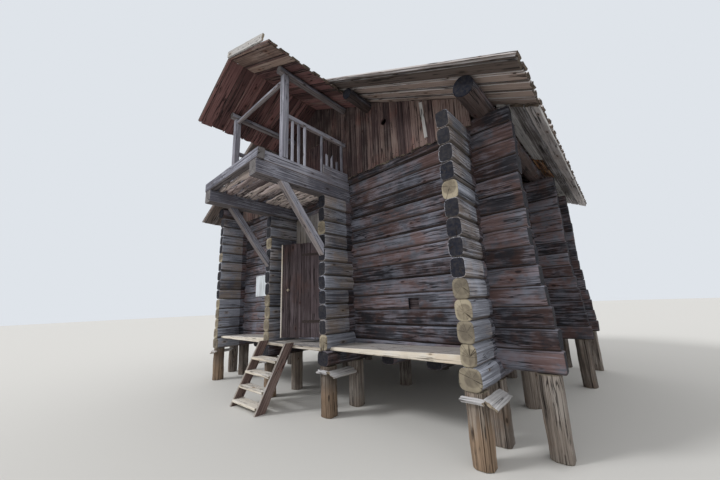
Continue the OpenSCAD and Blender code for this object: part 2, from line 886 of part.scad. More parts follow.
module main_slope(s)
    color(grey_board)
        slope(s, ridge_under_z, roof_pitch, roof_t, roof_front_y, roof_back_y, eave_x);

module balcony_slope(s)
    color(old_board)
        slope(s, balcony_under_z, balcony_pitch, balcony_roof_t,
              balcony_roof_y, -front_y - gable_face - scribe, balcony_eave_x);

module balcony_barge_board()
    color(grey_board)
        sloping(balcony_under_z, balcony_pitch - barge_lift, 0, barge_l, 0, barge_h,
                barge_y, barge_y + barge_t);

module eave_planks(s)
    color(grey_board)
        mirror([s < 0 ? 1 : 0, 0, 0])
            translate([eave_x - eave_plank_in, 0, roof_under(eave_x - eave_plank_in) - scribe])
                rotate([0, roof_pitch, 0])
                    for (i = [1:eave_plank_count])
                        translate([-i * (eave_plank_w + scribe), -front_y + log_face, -eave_plank_t])
                            cube([eave_plank_w, roof_back_y + front_y - log_face - clear,
                                  eave_plank_t]);

module round_purlin(x, z, d, from, to, grow = 0)
    translate([x, to, z])
        rotate([90, 0, 0])
            cylinder(d = d + 2 * grow, h = to - from, $fn = round_sides);

module eave_purlin(s, grow = 0)
    round_purlin(s * eave_purlin_x, eave_purlin_z, eave_purlin_d,
                 purlin_front_y, purlin_back_y, grow);

module eave_purlins()
    color(old_log)
        for (s = [-1, 1])
            eave_purlin(s);

module middle_purlins(grow = 0)
    color(old_log)
        for (s = [-1, 1])
            round_purlin(s * mid_purlin_x, mid_purlin_z, purlin_d,
                         purlin_front_y, purlin_back_y, grow);

module ridge_pole(grow = 0)
    color(old_log)
        round_purlin(0, ridge_pole_z, purlin_d, -front_y - roof_post_w / 2, purlin_back_y, grow);

// Posts on the cross walls that carry the purlins
module roof_posts()
    color(old_log)
        for (y = [-front_y, middle_y, back_y], x = [-mid_purlin_x, 0, mid_purlin_x])
            difference() {
                translate([x - roof_post_w / 2, y - roof_post_w / 2, wall_top_z + scribe])
                    cube([roof_post_w, roof_post_w,
                          (x == 0 ? ridge_pole_z : mid_purlin_z) - wall_top_z]);
                middle_purlins(scribe);
                ridge_pole(scribe);
            }

// Boards that close a gable
module gable(y, facing) {
    low = wall_top_z - gable_lap;
    difference() {
        translate([0, y + (facing < 0 ? -gable_back : gable_face), 0])
            rotate([90, 0, 0])
                linear_extrude(gable_t)
                    polygon([[-gable_half, low], [gable_half, low],
                             [gable_half, roof_under(gable_half) - scribe],
                             [0, roof_under(0) - scribe],
                             [-gable_half, roof_under(gable_half) - scribe]]);
        middle_purlins(scribe);
    }
}

module front_gable()
    color(old_board)
        difference() {
            gable(-front_y, -1);
            translate([-upper_door_w / 2, -front_y - gable_face - cut, upper_door_z])
                cube([upper_door_w, gable_t + 2 * cut, upper_door_h]);
            translate([owl_hole_x, -front_y, wall_top_z + owl_hole_up])
                rotate([90, 0, 0])
                    cylinder(d = owl_hole_d, h = 2 * gable_face, $fn = round_sides);
        }

module back_gable()
    color(old_board)
        difference() {
            gable(back_y, 1);
            ridge_pole(scribe);
            translate([-purlin_d / 2 - scribe, back_y, ridge_pole_z])
                cube([purlin_d + 2 * scribe, 2 * gable_face, purlin_d]);
        }

module upper_door()
    color(old_board)
        translate([-upper_door_w / 2 + clear, -front_y - gable_face, upper_door_z + scribe])
            cube([upper_door_w - 2 * clear, gable_t, upper_door_h - clear]);

// Joists between the balcony's beams, and the floor under the roof
module upper_joists()
    color(old_log)
        for (x = concat([0], both(bearers)))
            translate([x - beam_w / 2, -front_y + log_face + scribe, beam_z])
                cube([beam_w, middle_y + front_y - 2 * (log_face + scribe), beam_h]);

module upper_floor()
    color(pale_board)
        translate([-side_x + wall_face, -front_y + wall_face, upper_beam_z])
            cube([2 * (side_x - wall_face), middle_y + front_y - 2 * wall_face, floor_t]);

module notice_board()
    color(painted_board)
        translate([-notice_x - notice_w / 2, -front_y - log_face - scribe - notice_t,
                   notice_z - notice_h / 2])
            cube([notice_w, notice_t, notice_h]);

front_posts();
middle_posts();
back_posts();
wing_posts();
mouse_guards();
side_wall(1);  // side_wall_right
side_wall(-1);  // side_wall_left
porch_wall(1);  // porch_wall_right
porch_wall(-1);  // porch_wall_left
front_wall_part(1);  // front_wall_right
front_wall_part(-1);  // front_wall_left
front_wall_upper();
vent_block();
middle_wall();
back_wall();
floor_bearers();
front_room_floor();
back_room_floor();
porch_floor();
ledge(1);  // ledge_right
ledge(-1);  // ledge_left
door_frame();
door_screen();
door_leaf();
door_bars();
door_straps();
door_pintles();
ladder_sides();
ladder_treads();
upper_joists();
upper_floor();
balcony_beams();
balcony_side_rails();
balcony_deck();
balcony_braces();
balcony_posts();
balcony_tie();
balcony_plates();
balcony_rails();
balusters();
toe_boards();
balcony_slope(1);  // balcony_roof_right
balcony_slope(-1);  // balcony_roof_left
balcony_barge_board();
front_gable();
back_gable();
upper_door();
roof_posts();
eave_purlins();
middle_purlins();
ridge_pole();
main_slope(1);  // roof_right
main_slope(-1);  // roof_left
eave_planks(1);  // eave_planks_right
eave_planks(-1);  // eave_planks_left
notice_board();
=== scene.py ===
import json
import logging
import math
import random
from dataclasses import dataclass, replace
from enum import Enum
from typing import Callable, Iterable, Optional, Sequence, Union

import bmesh
import bpy
from mathutils import Matrix, Vector, noise

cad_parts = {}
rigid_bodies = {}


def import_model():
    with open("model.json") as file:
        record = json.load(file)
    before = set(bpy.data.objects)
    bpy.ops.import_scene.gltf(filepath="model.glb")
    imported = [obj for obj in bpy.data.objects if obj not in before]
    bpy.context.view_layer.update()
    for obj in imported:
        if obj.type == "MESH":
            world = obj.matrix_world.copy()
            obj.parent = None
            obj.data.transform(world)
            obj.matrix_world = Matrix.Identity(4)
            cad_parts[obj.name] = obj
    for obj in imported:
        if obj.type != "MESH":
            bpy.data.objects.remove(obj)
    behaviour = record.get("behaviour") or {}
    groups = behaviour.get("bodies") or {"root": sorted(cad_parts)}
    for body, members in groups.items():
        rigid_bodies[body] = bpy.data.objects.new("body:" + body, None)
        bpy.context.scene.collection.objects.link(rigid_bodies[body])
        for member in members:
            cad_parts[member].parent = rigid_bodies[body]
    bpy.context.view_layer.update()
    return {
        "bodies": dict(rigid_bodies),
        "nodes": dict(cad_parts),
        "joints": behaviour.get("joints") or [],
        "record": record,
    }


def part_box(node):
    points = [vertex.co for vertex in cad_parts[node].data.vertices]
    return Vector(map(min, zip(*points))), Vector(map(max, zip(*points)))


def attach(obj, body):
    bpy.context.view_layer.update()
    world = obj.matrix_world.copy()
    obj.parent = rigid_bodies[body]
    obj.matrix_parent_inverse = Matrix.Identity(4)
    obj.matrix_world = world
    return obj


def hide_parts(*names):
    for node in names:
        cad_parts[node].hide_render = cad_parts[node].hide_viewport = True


log = logging.getLogger("granary")

MM = 0.001
SMOOTH = {"interpolation_type": "SMOOTHSTEP"}
RIGHT = Vector((1, 0, 0))
BACK = Vector((0, 1, 0))
UP = Vector((0, 0, 1))

# The numbers of a timber's finishes: on its flats, on its ends, on its edges, and one more.
FLAT, END, EDGE, OTHER = range(4)
# How much shorter than its room a board is cut, in metres.
PLAY = 0.004
# Edges that turn by more than this many degrees look sharp.
SHARP_ANGLE = 38.0
# Each timber shows its own place of the grain, up to this many metres off.
GRAIN_SHIFT = 40
# Half the width of a drying check, the room kept free beside it, and how far it is from a side's middle.
CHECK_HALF = math.radians(2.3)
CHECK_ROOM = math.radians(6)
CHECK_FROM_SIDE = (14, 34)
# Waves to a metre: the axe's hollows along and across, finer ones with their share, and the bends.
HOLLOWS = (1.7, 7)
FINE_HOLLOWS = (6, 16, 0.45)
BENDS = 0.33

Size = tuple[float, float, float]
Part = bmesh.types.BMesh
Socket = bpy.types.NodeSocket
Materials = Sequence[bpy.types.Material]


class Body(Enum):
    """The two bodies of the part."""

    BUILDING = "building"
    DOOR = "door"


class Slot(Enum):
    """The record's material slots."""

    LOG = "old_log"
    POST = "post_wood"
    GREY = "grey_board"
    BROWN = "old_board"
    PALE = "pale_board"
    IRON = "rusty_iron"
    PAINT = "painted_board"


class Along(Enum):
    """The way a timber runs: along the front, into the building, or upright."""

    X = 0
    Y = 1
    Z = 2

    def turn(self) -> Matrix:
        """The turn that brings a timber from X to this way."""
        if self is Along.Y:
            return Matrix.Rotation(math.pi / 2, 4, "Z")
        if self is Along.Z:
            return Matrix.Rotation(-math.pi / 2, 4, "Y")
        return Matrix.Identity(4)

    def sizes(self, size: Vector) -> Size:
        """Length, width and height of a timber that fills a box of this size."""
        if self is Along.Y:
            return size.y, size.x, size.z
        if self is Along.Z:
            return size.z, size.y, size.x
        return size.x, size.y, size.z


class Kind(Enum):
    """The nodes that the finishes are made of."""

    MATH = "ShaderNodeMath"
    VECTOR = "ShaderNodeVectorMath"
    MIX = "ShaderNodeMix"
    RANGE = "ShaderNodeMapRange"
    RAMP = "ShaderNodeValToRGB"
    NOISE = "ShaderNodeTexNoise"
    CELLS = "ShaderNodeTexVoronoi"
    MAPPING = "ShaderNodeMapping"
    MAP = "ShaderNodeUVMap"
    PLACE = "ShaderNodeTexCoord"
    SURFACE = "ShaderNodeNewGeometry"
    SPLIT = "ShaderNodeSeparateXYZ"
    BUMP = "ShaderNodeBump"
    SKY = "ShaderNodeBackground"
    RAYS = "ShaderNodeLightPath"
    MIX_SHADER = "ShaderNodeMixShader"


@dataclass(frozen=True)
class Box:
    """The space that one solid fills, from its lowest to its highest corner."""

    low: Vector
    high: Vector

    @property
    def size(self) -> Vector:
        """Width, depth and height."""
        return self.high - self.low

    @property
    def centre(self) -> Vector:
        """The middle."""
        return (self.low + self.high) / 2

    def place(self, way: Along) -> Matrix:
        """The place of a timber that fills the box."""
        return Matrix.Translation(self.centre) @ way.turn()


def linear(code: str) -> tuple[float, float, float, float]:
    """Turns an sRGB hex colour to linear light.

    Args:
        code: six hex digits after a hash.

    Returns:
        Red, green, blue and 1.
    """
    parts = [int(code[i:i + 2], 16) / 255 for i in (1, 3, 5)]
    light = [p / 12.92 if p <= 0.04045 else ((p + 0.055) / 1.055) ** 2.4 for p in parts]
    return light[0], light[1], light[2], 1.0


class Nodes:
    """The nodes of one material or of the sky, added one by one."""

    def __init__(self, owner: Union[bpy.types.Material, bpy.types.World]) -> None:
        """Turns the nodes on."""
        owner.use_nodes = True
        self.owner = owner
        self.tree = owner.node_tree

    def feed(self, node: bpy.types.Node, inputs: Iterable) -> None:
        """Gives inputs of a node a value or a link.

        Args:
            node: the node.
            inputs: values and sockets, in order, or by the input's name or number.
        """
        for key, value in inputs.items() if isinstance(inputs, dict) else enumerate(inputs):
            if isinstance(value, Socket):
                self.tree.links.new(value, node.inputs[key])
            else:
                node.inputs[key].default_value = value

    def add(self, kind: Kind, inputs: Iterable = (), out: Union[int, str] = 0,
            stops: Sequence[tuple[float, tuple]] = (), **settings) -> Socket:
        """Adds a node with its settings and links.

        Args:
            kind: the node's kind.
            inputs: what feed takes.
            out: the output that is wanted.
            stops: a colour ramp's places and linear colours.
            **settings: the node's own settings.

        Returns:
            The output.
        """
        made = self.tree.nodes.new(kind.value)
        for key, value in settings.items():
            setattr(made, key, value)
        while stops and len(made.color_ramp.elements) < len(stops):
            made.color_ramp.elements.new(0.5)
        for element, (place, colour) in zip(made.color_ramp.elements if stops else (), stops):
            element.position = place
            element.color = colour
        self.feed(made, inputs)
        return made.outputs[out]

    def weigh(self, start: float, *parts: tuple[Socket, float]) -> Socket:
        """A weighted sum.

        Args:
            start: what is added to it.
            *parts: sockets with their weights.

        Returns:
            The sum.
        """
        total = start
        for socket, weight in parts:
            total = self.add(Kind.MATH, (socket, weight, total), operation="MULTIPLY_ADD")
        return total

    def cover(self, colour: Socket, layers: Sequence[tuple[Socket, object]]) -> Socket:
        """Lays colours over a colour.

        Args:
            colour: what lies below.
            layers: how far each colour covers, and the colour.

        Returns:
            The colour on top.
        """
        for share, over in layers:
            colour = self.add(Kind.MIX, {0: share, 6: colour, 7: over}, 2, data_type="RGBA")
        return colour

    def near_middle(self, value: Socket) -> Socket:
        """How far a noise is from its middle, so that thin lines can follow where it passes."""
        off = self.add(Kind.MATH, (value, 0.5), operation="SUBTRACT")
        return self.add(Kind.MATH, (off,), operation="ABSOLUTE")

    def surface(self, inputs: dict, height: Socket, strength: float, relief_mm: float) -> bpy.types.Material:
        """Ends a material with its shader's inputs and its bump.

        Args:
            inputs: the shader's inputs by name.
            height: what the bump follows.
            strength: the bump's strength.
            relief_mm: how deep it goes.

        Returns:
            The material.
        """
        bump = {"Height": height, "Strength": strength, "Distance": relief_mm * MM}
        self.feed(self.tree.nodes["Principled BSDF"], {**inputs, "Normal": self.add(Kind.BUMP, bump)})
        return self.owner


@dataclass(frozen=True)
class WeatheredWood:
    """Softwood left bare to the weather: raised fibres, silver streaks, stains and dark drying checks.

    The grain runs along u of the timber's own map, in metres. The tone map's first number says how
    light a timber is and its second how stained. Sizes in mm go along the grain, then across it.
    """

    name: str
    dark: str
    middle: str
    light: str
    silver: str
    check: str
    stain: str
    # The colour of downward faces: browner wood where no rain reaches, and on the roofs also lighter as
    # painted bounce light.
    sheltered: Optional[str] = None
    # A colour over the timber's lower part, up to the height given next: painted sunlight.
    foot: Optional[str] = None
    sunlit_foot_height: float = 0.42
    fibre_mm: tuple[float, float] = (240.0, 4.5)
    streak_mm: tuple[float, float] = (1300.0, 20.0)
    check_mm: tuple[float, float] = (1500.0, 60.0)
    check_width: float = 0.022
    patch_mm: float = 850.0
    bleach: float = 0.4
    stained: float = 0.55
    sky: float = 0.3
    spread: float = 0.34
    relief_mm: float = 3.5
    roughness: float = 0.88
    knots: float = 0.75
    knot_share: float = 0.3

    def make(self) -> bpy.types.Material:
        """Builds the material.

        Returns:
            The material.
        """
        n = Nodes(bpy.data.materials.new(self.name))
        grain = n.add(Kind.MAP, uv_map="grain")
        tone = n.add(Kind.SPLIT, (n.add(Kind.MAP, uv_map="tone"),)).node.outputs
        place = n.add(Kind.PLACE, out="Object")
        facing = n.add(Kind.SPLIT, (n.add(Kind.SURFACE, out="Normal"),), "Z")

        fibre = self._stretched(n, grain, self.fibre_mm, 2.0, 0.6)
        streak = self._stretched(n, grain, self.streak_mm, 4.0, 0.6)
        patch = self._cloud(n, place, self.patch_mm, (0.0, 0.0, 0.0))
        other = self._cloud(n, place, self.patch_mm * 0.6, (17.0, 5.0, 9.0))
        own = n.weigh(-self.spread / 2, (tone["X"], self.spread))
        body = n.weigh(-0.16, (streak, 0.62), (fibre, 0.34), (patch, 0.36), (own, 1.0))

        stain = n.weigh(-0.65, (other, 1.3), (streak, 0.5), (tone["Y"], 0.25))
        stain = n.add(Kind.RANGE, (stain, 0.36, 0.6, 0.0, self.stained), **SMOOTH)
        pale = n.weigh(-0.65, (patch, 1.1), (streak, 0.9), (fibre, 0.3))
        pale = n.add(Kind.RANGE, (pale, 0.42, 0.74, 0.0, self.bleach), **SMOOTH)
        upper = n.add(Kind.RANGE, (facing, 0.15, 0.85, 0.0, self.sky), **SMOOTH)
        rained = n.add(Kind.MATH, (upper, streak), operation="MULTIPLY")
        silver = n.weigh(0.0, (rained, 1.8), (pale, 1.0))
        brown = self._shaded(n, self.stain, body)
        layers = [(stain, brown), (silver, linear(self.silver))]
        # Downward faces take the underside colour: sheltered wood, and on the roofs painted bounce light.
        if self.sheltered:
            under = n.add(Kind.RANGE, (facing, -0.25, -0.6, 0.0, 0.85), **SMOOTH)
            layers.append((under, self._shaded(n, self.sheltered, body)))
        # Painted sunlight on the lower part of the timber.
        if self.foot:
            height = n.weigh(-0.42, (n.add(Kind.SPLIT, (place,), "Z"), 1.0), (streak, 0.55), (patch, 0.3))
            reach = (self.sunlit_foot_height + 0.12, self.sunlit_foot_height - 0.12)
            low = n.add(Kind.RANGE, (height, *reach, 0.0, 0.75), **SMOOTH)
            layers.append((low, self._shaded(n, self.foot, body)))
        crack = self._checks(n, grain, patch)
        knot, halo = self._knots(n, grain)
        layers += [(crack, linear(self.check)), (halo, brown), (knot, linear(self.check))]
        stops = tuple(zip((0.28, 0.5, 0.72), map(linear, (self.dark, self.middle, self.light))))
        colour = n.cover(n.add(Kind.RAMP, (body,), stops=stops), layers)

        dull, rough = self.roughness - 0.08, self.roughness + 0.08
        rough = n.add(Kind.RANGE, (fibre, 0.2, 0.8, dull, rough), **SMOOTH)
        height = n.weigh(0.3, (fibre, 0.5), (streak, 0.45), (crack, -0.9), (knot, 0.2))
        shader = {"Base Color": colour, "Roughness": rough, "Specular IOR Level": 0.25}
        return n.surface(shader, height, 0.85, self.relief_mm)

    def _stretched(self, n: Nodes, grain: Socket, size_mm: tuple[float, float], detail: float,
                   rough: float) -> Socket:
        """Noise drawn out along the grain.

        Args:
            n: the material's nodes.
            grain: the grain map.
            size_mm: size of the pattern.
            detail: how many finer layers it has.
            rough: how strong they are.

        Returns:
            The noise, from 0 to 1.
        """
        scale = (1 / (size_mm[0] * MM), 1 / (size_mm[1] * MM), 1.0)
        drawn = n.add(Kind.MAPPING, {"Vector": grain, "Scale": scale})
        inputs = {"Vector": drawn, "Scale": 1.0, "Detail": detail, "Roughness": rough, "Distortion": 0.25}
        return n.add(Kind.NOISE, inputs, noise_dimensions="2D")

    def _cloud(self, n: Nodes, place: Socket, size_mm: float, shift: Size) -> Socket:
        """Large patches of weather, the same on timbers that lie side by side.

        Args:
            n: the material's nodes.
            place: the place on the object, in metres.
            size_mm: size of a patch.
            shift: moves the pattern.

        Returns:
            The noise, from 0 to 1.
        """
        moved = n.add(Kind.MAPPING, {"Vector": place, "Location": shift})
        return n.add(Kind.NOISE, {"Vector": moved, "Scale": 1 / (size_mm * MM), "Detail": 5.0,
                                  "Roughness": 0.62})

    def _shaded(self, n: Nodes, base: str, body: Socket) -> Socket:
        """A colour that goes darker and lighter with the grain.

        Args:
            n: the material's nodes.
            base: the colour.
            body: the grain's lightness.

        Returns:
            The colour.
        """
        stops = [(place, (*(v * share for v in linear(base)[:3]), 1.0))
                 for place, share in ((0.28, 0.5), (0.5, 1.0), (0.72, 1.5))]
        return n.add(Kind.RAMP, (body,), stops=stops)

    def _checks(self, n: Nodes, grain: Socket, patch: Socket) -> Socket:
        """Long thin drying checks, where a stretched noise passes its middle.

        Args:
            n: the material's nodes.
            grain: the grain map.
            patch: breaks the lines off.

        Returns:
            How much of a check each point is.
        """
        off = n.near_middle(self._stretched(n, grain, self.check_mm, 2.5, 0.5))
        line = n.add(Kind.RANGE, (off, self.check_width, self.check_width * 0.35, 0.0, 0.85), **SMOOTH)
        broken = n.add(Kind.RANGE, (patch, 0.42, 0.52, 0.15, 1.0), **SMOOTH)
        return n.add(Kind.MATH, (line, broken), operation="MULTIPLY")

    def _knots(self, n: Nodes, grain: Socket) -> list[Socket]:
        """Dark knots 20 to 40 mm across in a brown eye, in a part of the cells of a grid.

        Args:
            n: the material's nodes.
            grain: the grain map.

        Returns:
            How much of a knot, and of its eye, each point is.
        """
        spaced = n.add(Kind.MAPPING, {"Vector": grain, "Scale": (1.9, 4.6, 1.0)})
        cells = n.add(Kind.CELLS, {"Vector": spaced, "Scale": 1.0}, voronoi_dimensions="2D").node.outputs
        picked = n.add(Kind.SPLIT, (cells["Color"],)).node.outputs
        there = n.add(Kind.MATH, (picked["X"], self.knot_share), operation="LESS_THAN")
        size = n.add(Kind.RANGE, (picked["Y"], 0.0, 1.0, 0.7, 1.5), **SMOOTH)
        reach = n.add(Kind.MATH, (cells["Distance"], size), operation="DIVIDE")
        spots = [n.add(Kind.RANGE, (reach, wide, narrow, 0.0, strength), **SMOOTH)
                 for wide, narrow, strength in ((0.07, 0.035, self.knots), (0.16, 0.05, self.knots * 0.6))]
        return [n.add(Kind.MATH, (spot, there), operation="MULTIPLY") for spot in spots]


@dataclass(frozen=True)
class EndGrain:
    """The sawn or hewn end of a timber: growth rings, a few cracks from the heart, a paler rim.

    The map is centred on the heart, in metres. The tone map's first number sets each end apart and
    its second says how black it is: weathered on most timbers, painted shade on the walls' higher log ends.
    """

    name: str
    pale: str
    ring: str
    black: str
    rim: str
    rim_from: float = 0.3
    ring_mm: float = 8.0
    cracks: float = 1.1
    crack_mm: float = 1.2

    def make(self) -> bpy.types.Material:
        """Builds the material.

        Returns:
            The material.
        """
        n = Nodes(bpy.data.materials.new(self.name))
        heart = n.add(Kind.MAP, uv_map="grain")
        tone = n.add(Kind.SPLIT, (n.add(Kind.MAP, uv_map="tone"),)).node.outputs
        place = n.add(Kind.PLACE, out="Object")
        rough = n.add(Kind.NOISE, {"Vector": place, "Scale": 24.0, "Detail": 4.0, "Roughness": 0.6})
        cloud = n.add(Kind.NOISE, {"Vector": place, "Scale": 7.0, "Detail": 2.0})
        radius = n.add(Kind.VECTOR, (heart,), "Value", operation="LENGTH")
        wobble = n.weigh(0.0, (cloud, 0.05), (rough, 0.008), (radius, 1.0))
        turns = n.weigh(0.0, (wobble, 2 * math.pi / (self.ring_mm * MM)))
        rings = n.add(Kind.MATH, (turns,), operation="SINE")
        shade = n.weigh(-0.2, (rings, 0.13), (rough, 0.6), (cloud, 0.8))
        edge = n.weigh(-0.015, (radius, 1.0), (cloud, 0.03))
        rim = n.add(Kind.RANGE, (edge, self.rim_from, self.rim_from + 0.022, 0.0, 0.6), **SMOOTH)
        sooty = n.add(Kind.RANGE, (rough, 0.25, 0.65, 0.88, 1.0), **SMOOTH)
        # Blackened ends: weathered on most timbers, painted shade on the walls' higher log ends.
        black = n.add(Kind.MATH, (tone["Y"], sooty), operation="MULTIPLY")
        bare = n.add(Kind.RANGE, (tone["Y"], 0.0, 0.6, 1.0, 0.0), **SMOOTH)
        worn = n.add(Kind.MATH, (rim, bare), operation="MULTIPLY")
        crack = self._cracks(n, heart, radius, tone["X"])
        colour = n.add(Kind.RAMP, (shade,), stops=((0.3, linear(self.ring)), (0.7, linear(self.pale))))
        colour = n.cover(colour, ((black, linear(self.black)), (worn, linear(self.rim)),
                                  (crack, linear("#231c17"))))
        shader = {"Base Color": colour, "Roughness": 0.9, "Specular IOR Level": 0.2}
        return n.surface(shader, n.weigh(0.0, (crack, -1.0), (shade, 1.0)), 0.8, 4.0)

    def _cracks(self, n: Nodes, heart: Socket, radius: Socket, own: Socket) -> Socket:
        """Three to six cracks that run out from the heart.

        Args:
            n: the material's nodes.
            heart: the map about the heart.
            radius: the distance from it.
            own: this timber's own number.

        Returns:
            How much of a crack each point is.
        """
        around = n.add(Kind.VECTOR, (heart,), operation="NORMALIZE")
        spokes = n.add(Kind.NOISE, {"Vector": around, "W": n.weigh(0.0, (own, 60.0)), "Scale": self.cracks,
                                    "Detail": 1.0, "Roughness": 0.4}, noise_dimensions="4D")
        off = n.add(Kind.MATH, (n.near_middle(spokes), radius), operation="MULTIPLY")
        width = self.crack_mm * MM
        line = n.add(Kind.RANGE, (off, width * 0.5, width * 0.15, 0.0, 0.9), **SMOOTH)
        outer = n.add(Kind.RANGE, (radius, 0.012, 0.03, 0.4, 1.0), **SMOOTH)
        return n.add(Kind.MATH, (line, outer), operation="MULTIPLY")


@dataclass(frozen=True)
class ForgedIron:
    """Hammered wrought iron with a skin of brown rust: matt, with dark bare spots."""

    name: str
    rust: str
    dark: str
    pit_mm: float = 6.0

    def make(self) -> bpy.types.Material:
        """Builds the material.

        Returns:
            The material.
        """
        n = Nodes(bpy.data.materials.new(self.name))
        place = n.add(Kind.PLACE, out="Object")
        pits = n.add(Kind.NOISE, {"Vector": place, "Scale": 1 / (self.pit_mm * MM), "Detail": 4.0})
        colour = n.add(Kind.RAMP, (pits,), stops=((0.38, linear(self.dark)), (0.62, linear(self.rust))))
        metal = n.add(Kind.RANGE, (pits, 0.5, 0.36, 0.0, 0.7))
        return n.surface({"Base Color": colour, "Metallic": metal, "Roughness": 0.7}, pits, 0.5, 1.5)


@dataclass(frozen=True)
class PaintedSheet:
    """Thin sheet under old matt paint: chalky, streaked by rain, with rusty specks."""

    name: str
    paint: str
    stain: str

    def make(self) -> bpy.types.Material:
        """Builds the material.

        Returns:
            The material.
        """
        n = Nodes(bpy.data.materials.new(self.name))
        runs = n.add(Kind.MAPPING, {"Vector": n.add(Kind.PLACE, out="Object"), "Scale": (22.0, 22.0, 2.5)})
        rain = n.add(Kind.NOISE, {"Vector": runs, "Scale": 1.0, "Detail": 4.0})
        colour = n.add(Kind.RAMP, (rain,), stops=((0.3, linear(self.stain)), (0.55, linear(self.paint))))
        return n.surface({"Base Color": colour, "Roughness": 0.55}, rain, 0.2, 1.0)


@dataclass(frozen=True)
class Hewing:
    """How the axe and the weather left a timber, in metres.

    A squareness of 2 gives a round section, 3 a hewn log and 8 a squared beam. Thin, where it is
    given, is the share of its box's width that a timber may fill.
    """

    squareness: float = 3.0
    bend: float = 0.012
    lump: float = 0.007
    chamfer: float = 0.014
    check_depth: float = 0.020
    checks: int = 2
    ring: float = 0.18
    sides: int = 20
    tilt: float = 0.06
    end_rings: int = 2
    end_shrink: float = 0.0
    short: float = 0.0
    thin: tuple[float, ...] = ()


@dataclass(frozen=True)
class Sawing:
    """How a board has moved and worn, in metres."""

    edge: float = 0.004
    bow: float = 0.006
    wander: float = 0.003
    ragged: float = 0.008
    step: float = 0.35
    across: int = 2
    twist: float = 0.010
    chew: float = 0.0


def rounded(value: float, squareness: float) -> float:
    """The sine or cosine of a rounded square."""
    return math.copysign(abs(value) ** (2 / squareness), value)


def clamp(value: float, low: float = 0.0, high: float = 1.0) -> float:
    """The value, kept between two others."""
    return max(low, min(high, value))


def noise_at(x: float, y: float, z: float) -> float:
    """Smooth noise about 0 at a place."""
    return noise.noise(Vector((x, y, z)))


def ring_angles(hewing: Hewing, rng: random.Random, upright: bool) -> list[tuple[float, float]]:
    """Where the points of a section lie, with three close ones for each drying check.

    Args:
        hewing: the timber's shape.
        rng: the random source.
        upright: the checks may then lie on any side.

    Returns:
        Angle and depth of check for each point, in order.
    """
    turn = 2 * math.pi
    points = [((i + 0.5) * turn / hewing.sides, 0.0) for i in range(hewing.sides)]
    for _ in range(hewing.checks):
        side = rng.choice((0.0, 0.5, 1.0, 1.5)) * math.pi if upright else rng.choice((0.0, math.pi))
        centre = (side + rng.choice((-1, 1)) * math.radians(rng.uniform(*CHECK_FROM_SIDE))) % turn
        points = [p for p in points if abs(p[0] - centre) > CHECK_ROOM or p[1] > 0]
        points += [((centre + k * CHECK_HALF) % turn, 1.0 if k == 0 else 0.0) for k in (-1, 0, 1)]
    return sorted(points)


def section_point(angle: float, width: float, height: float, squareness: float,
                  sides: int) -> tuple[float, float]:
    """A point of a rounded square that just fills its box.

    Args:
        angle: the point's angle.
        width: the box's width.
        height: the box's height.
        squareness: how square it is.
        sides: how many sides the section has.

    Returns:
        Its place across and up.
    """
    flat = rounded(math.cos(math.pi / sides), squareness)
    y, z = (clamp(rounded(v, squareness) / flat, -1.0) for v in (math.cos(angle), math.sin(angle)))
    return width / 2 * y, height / 2 * z


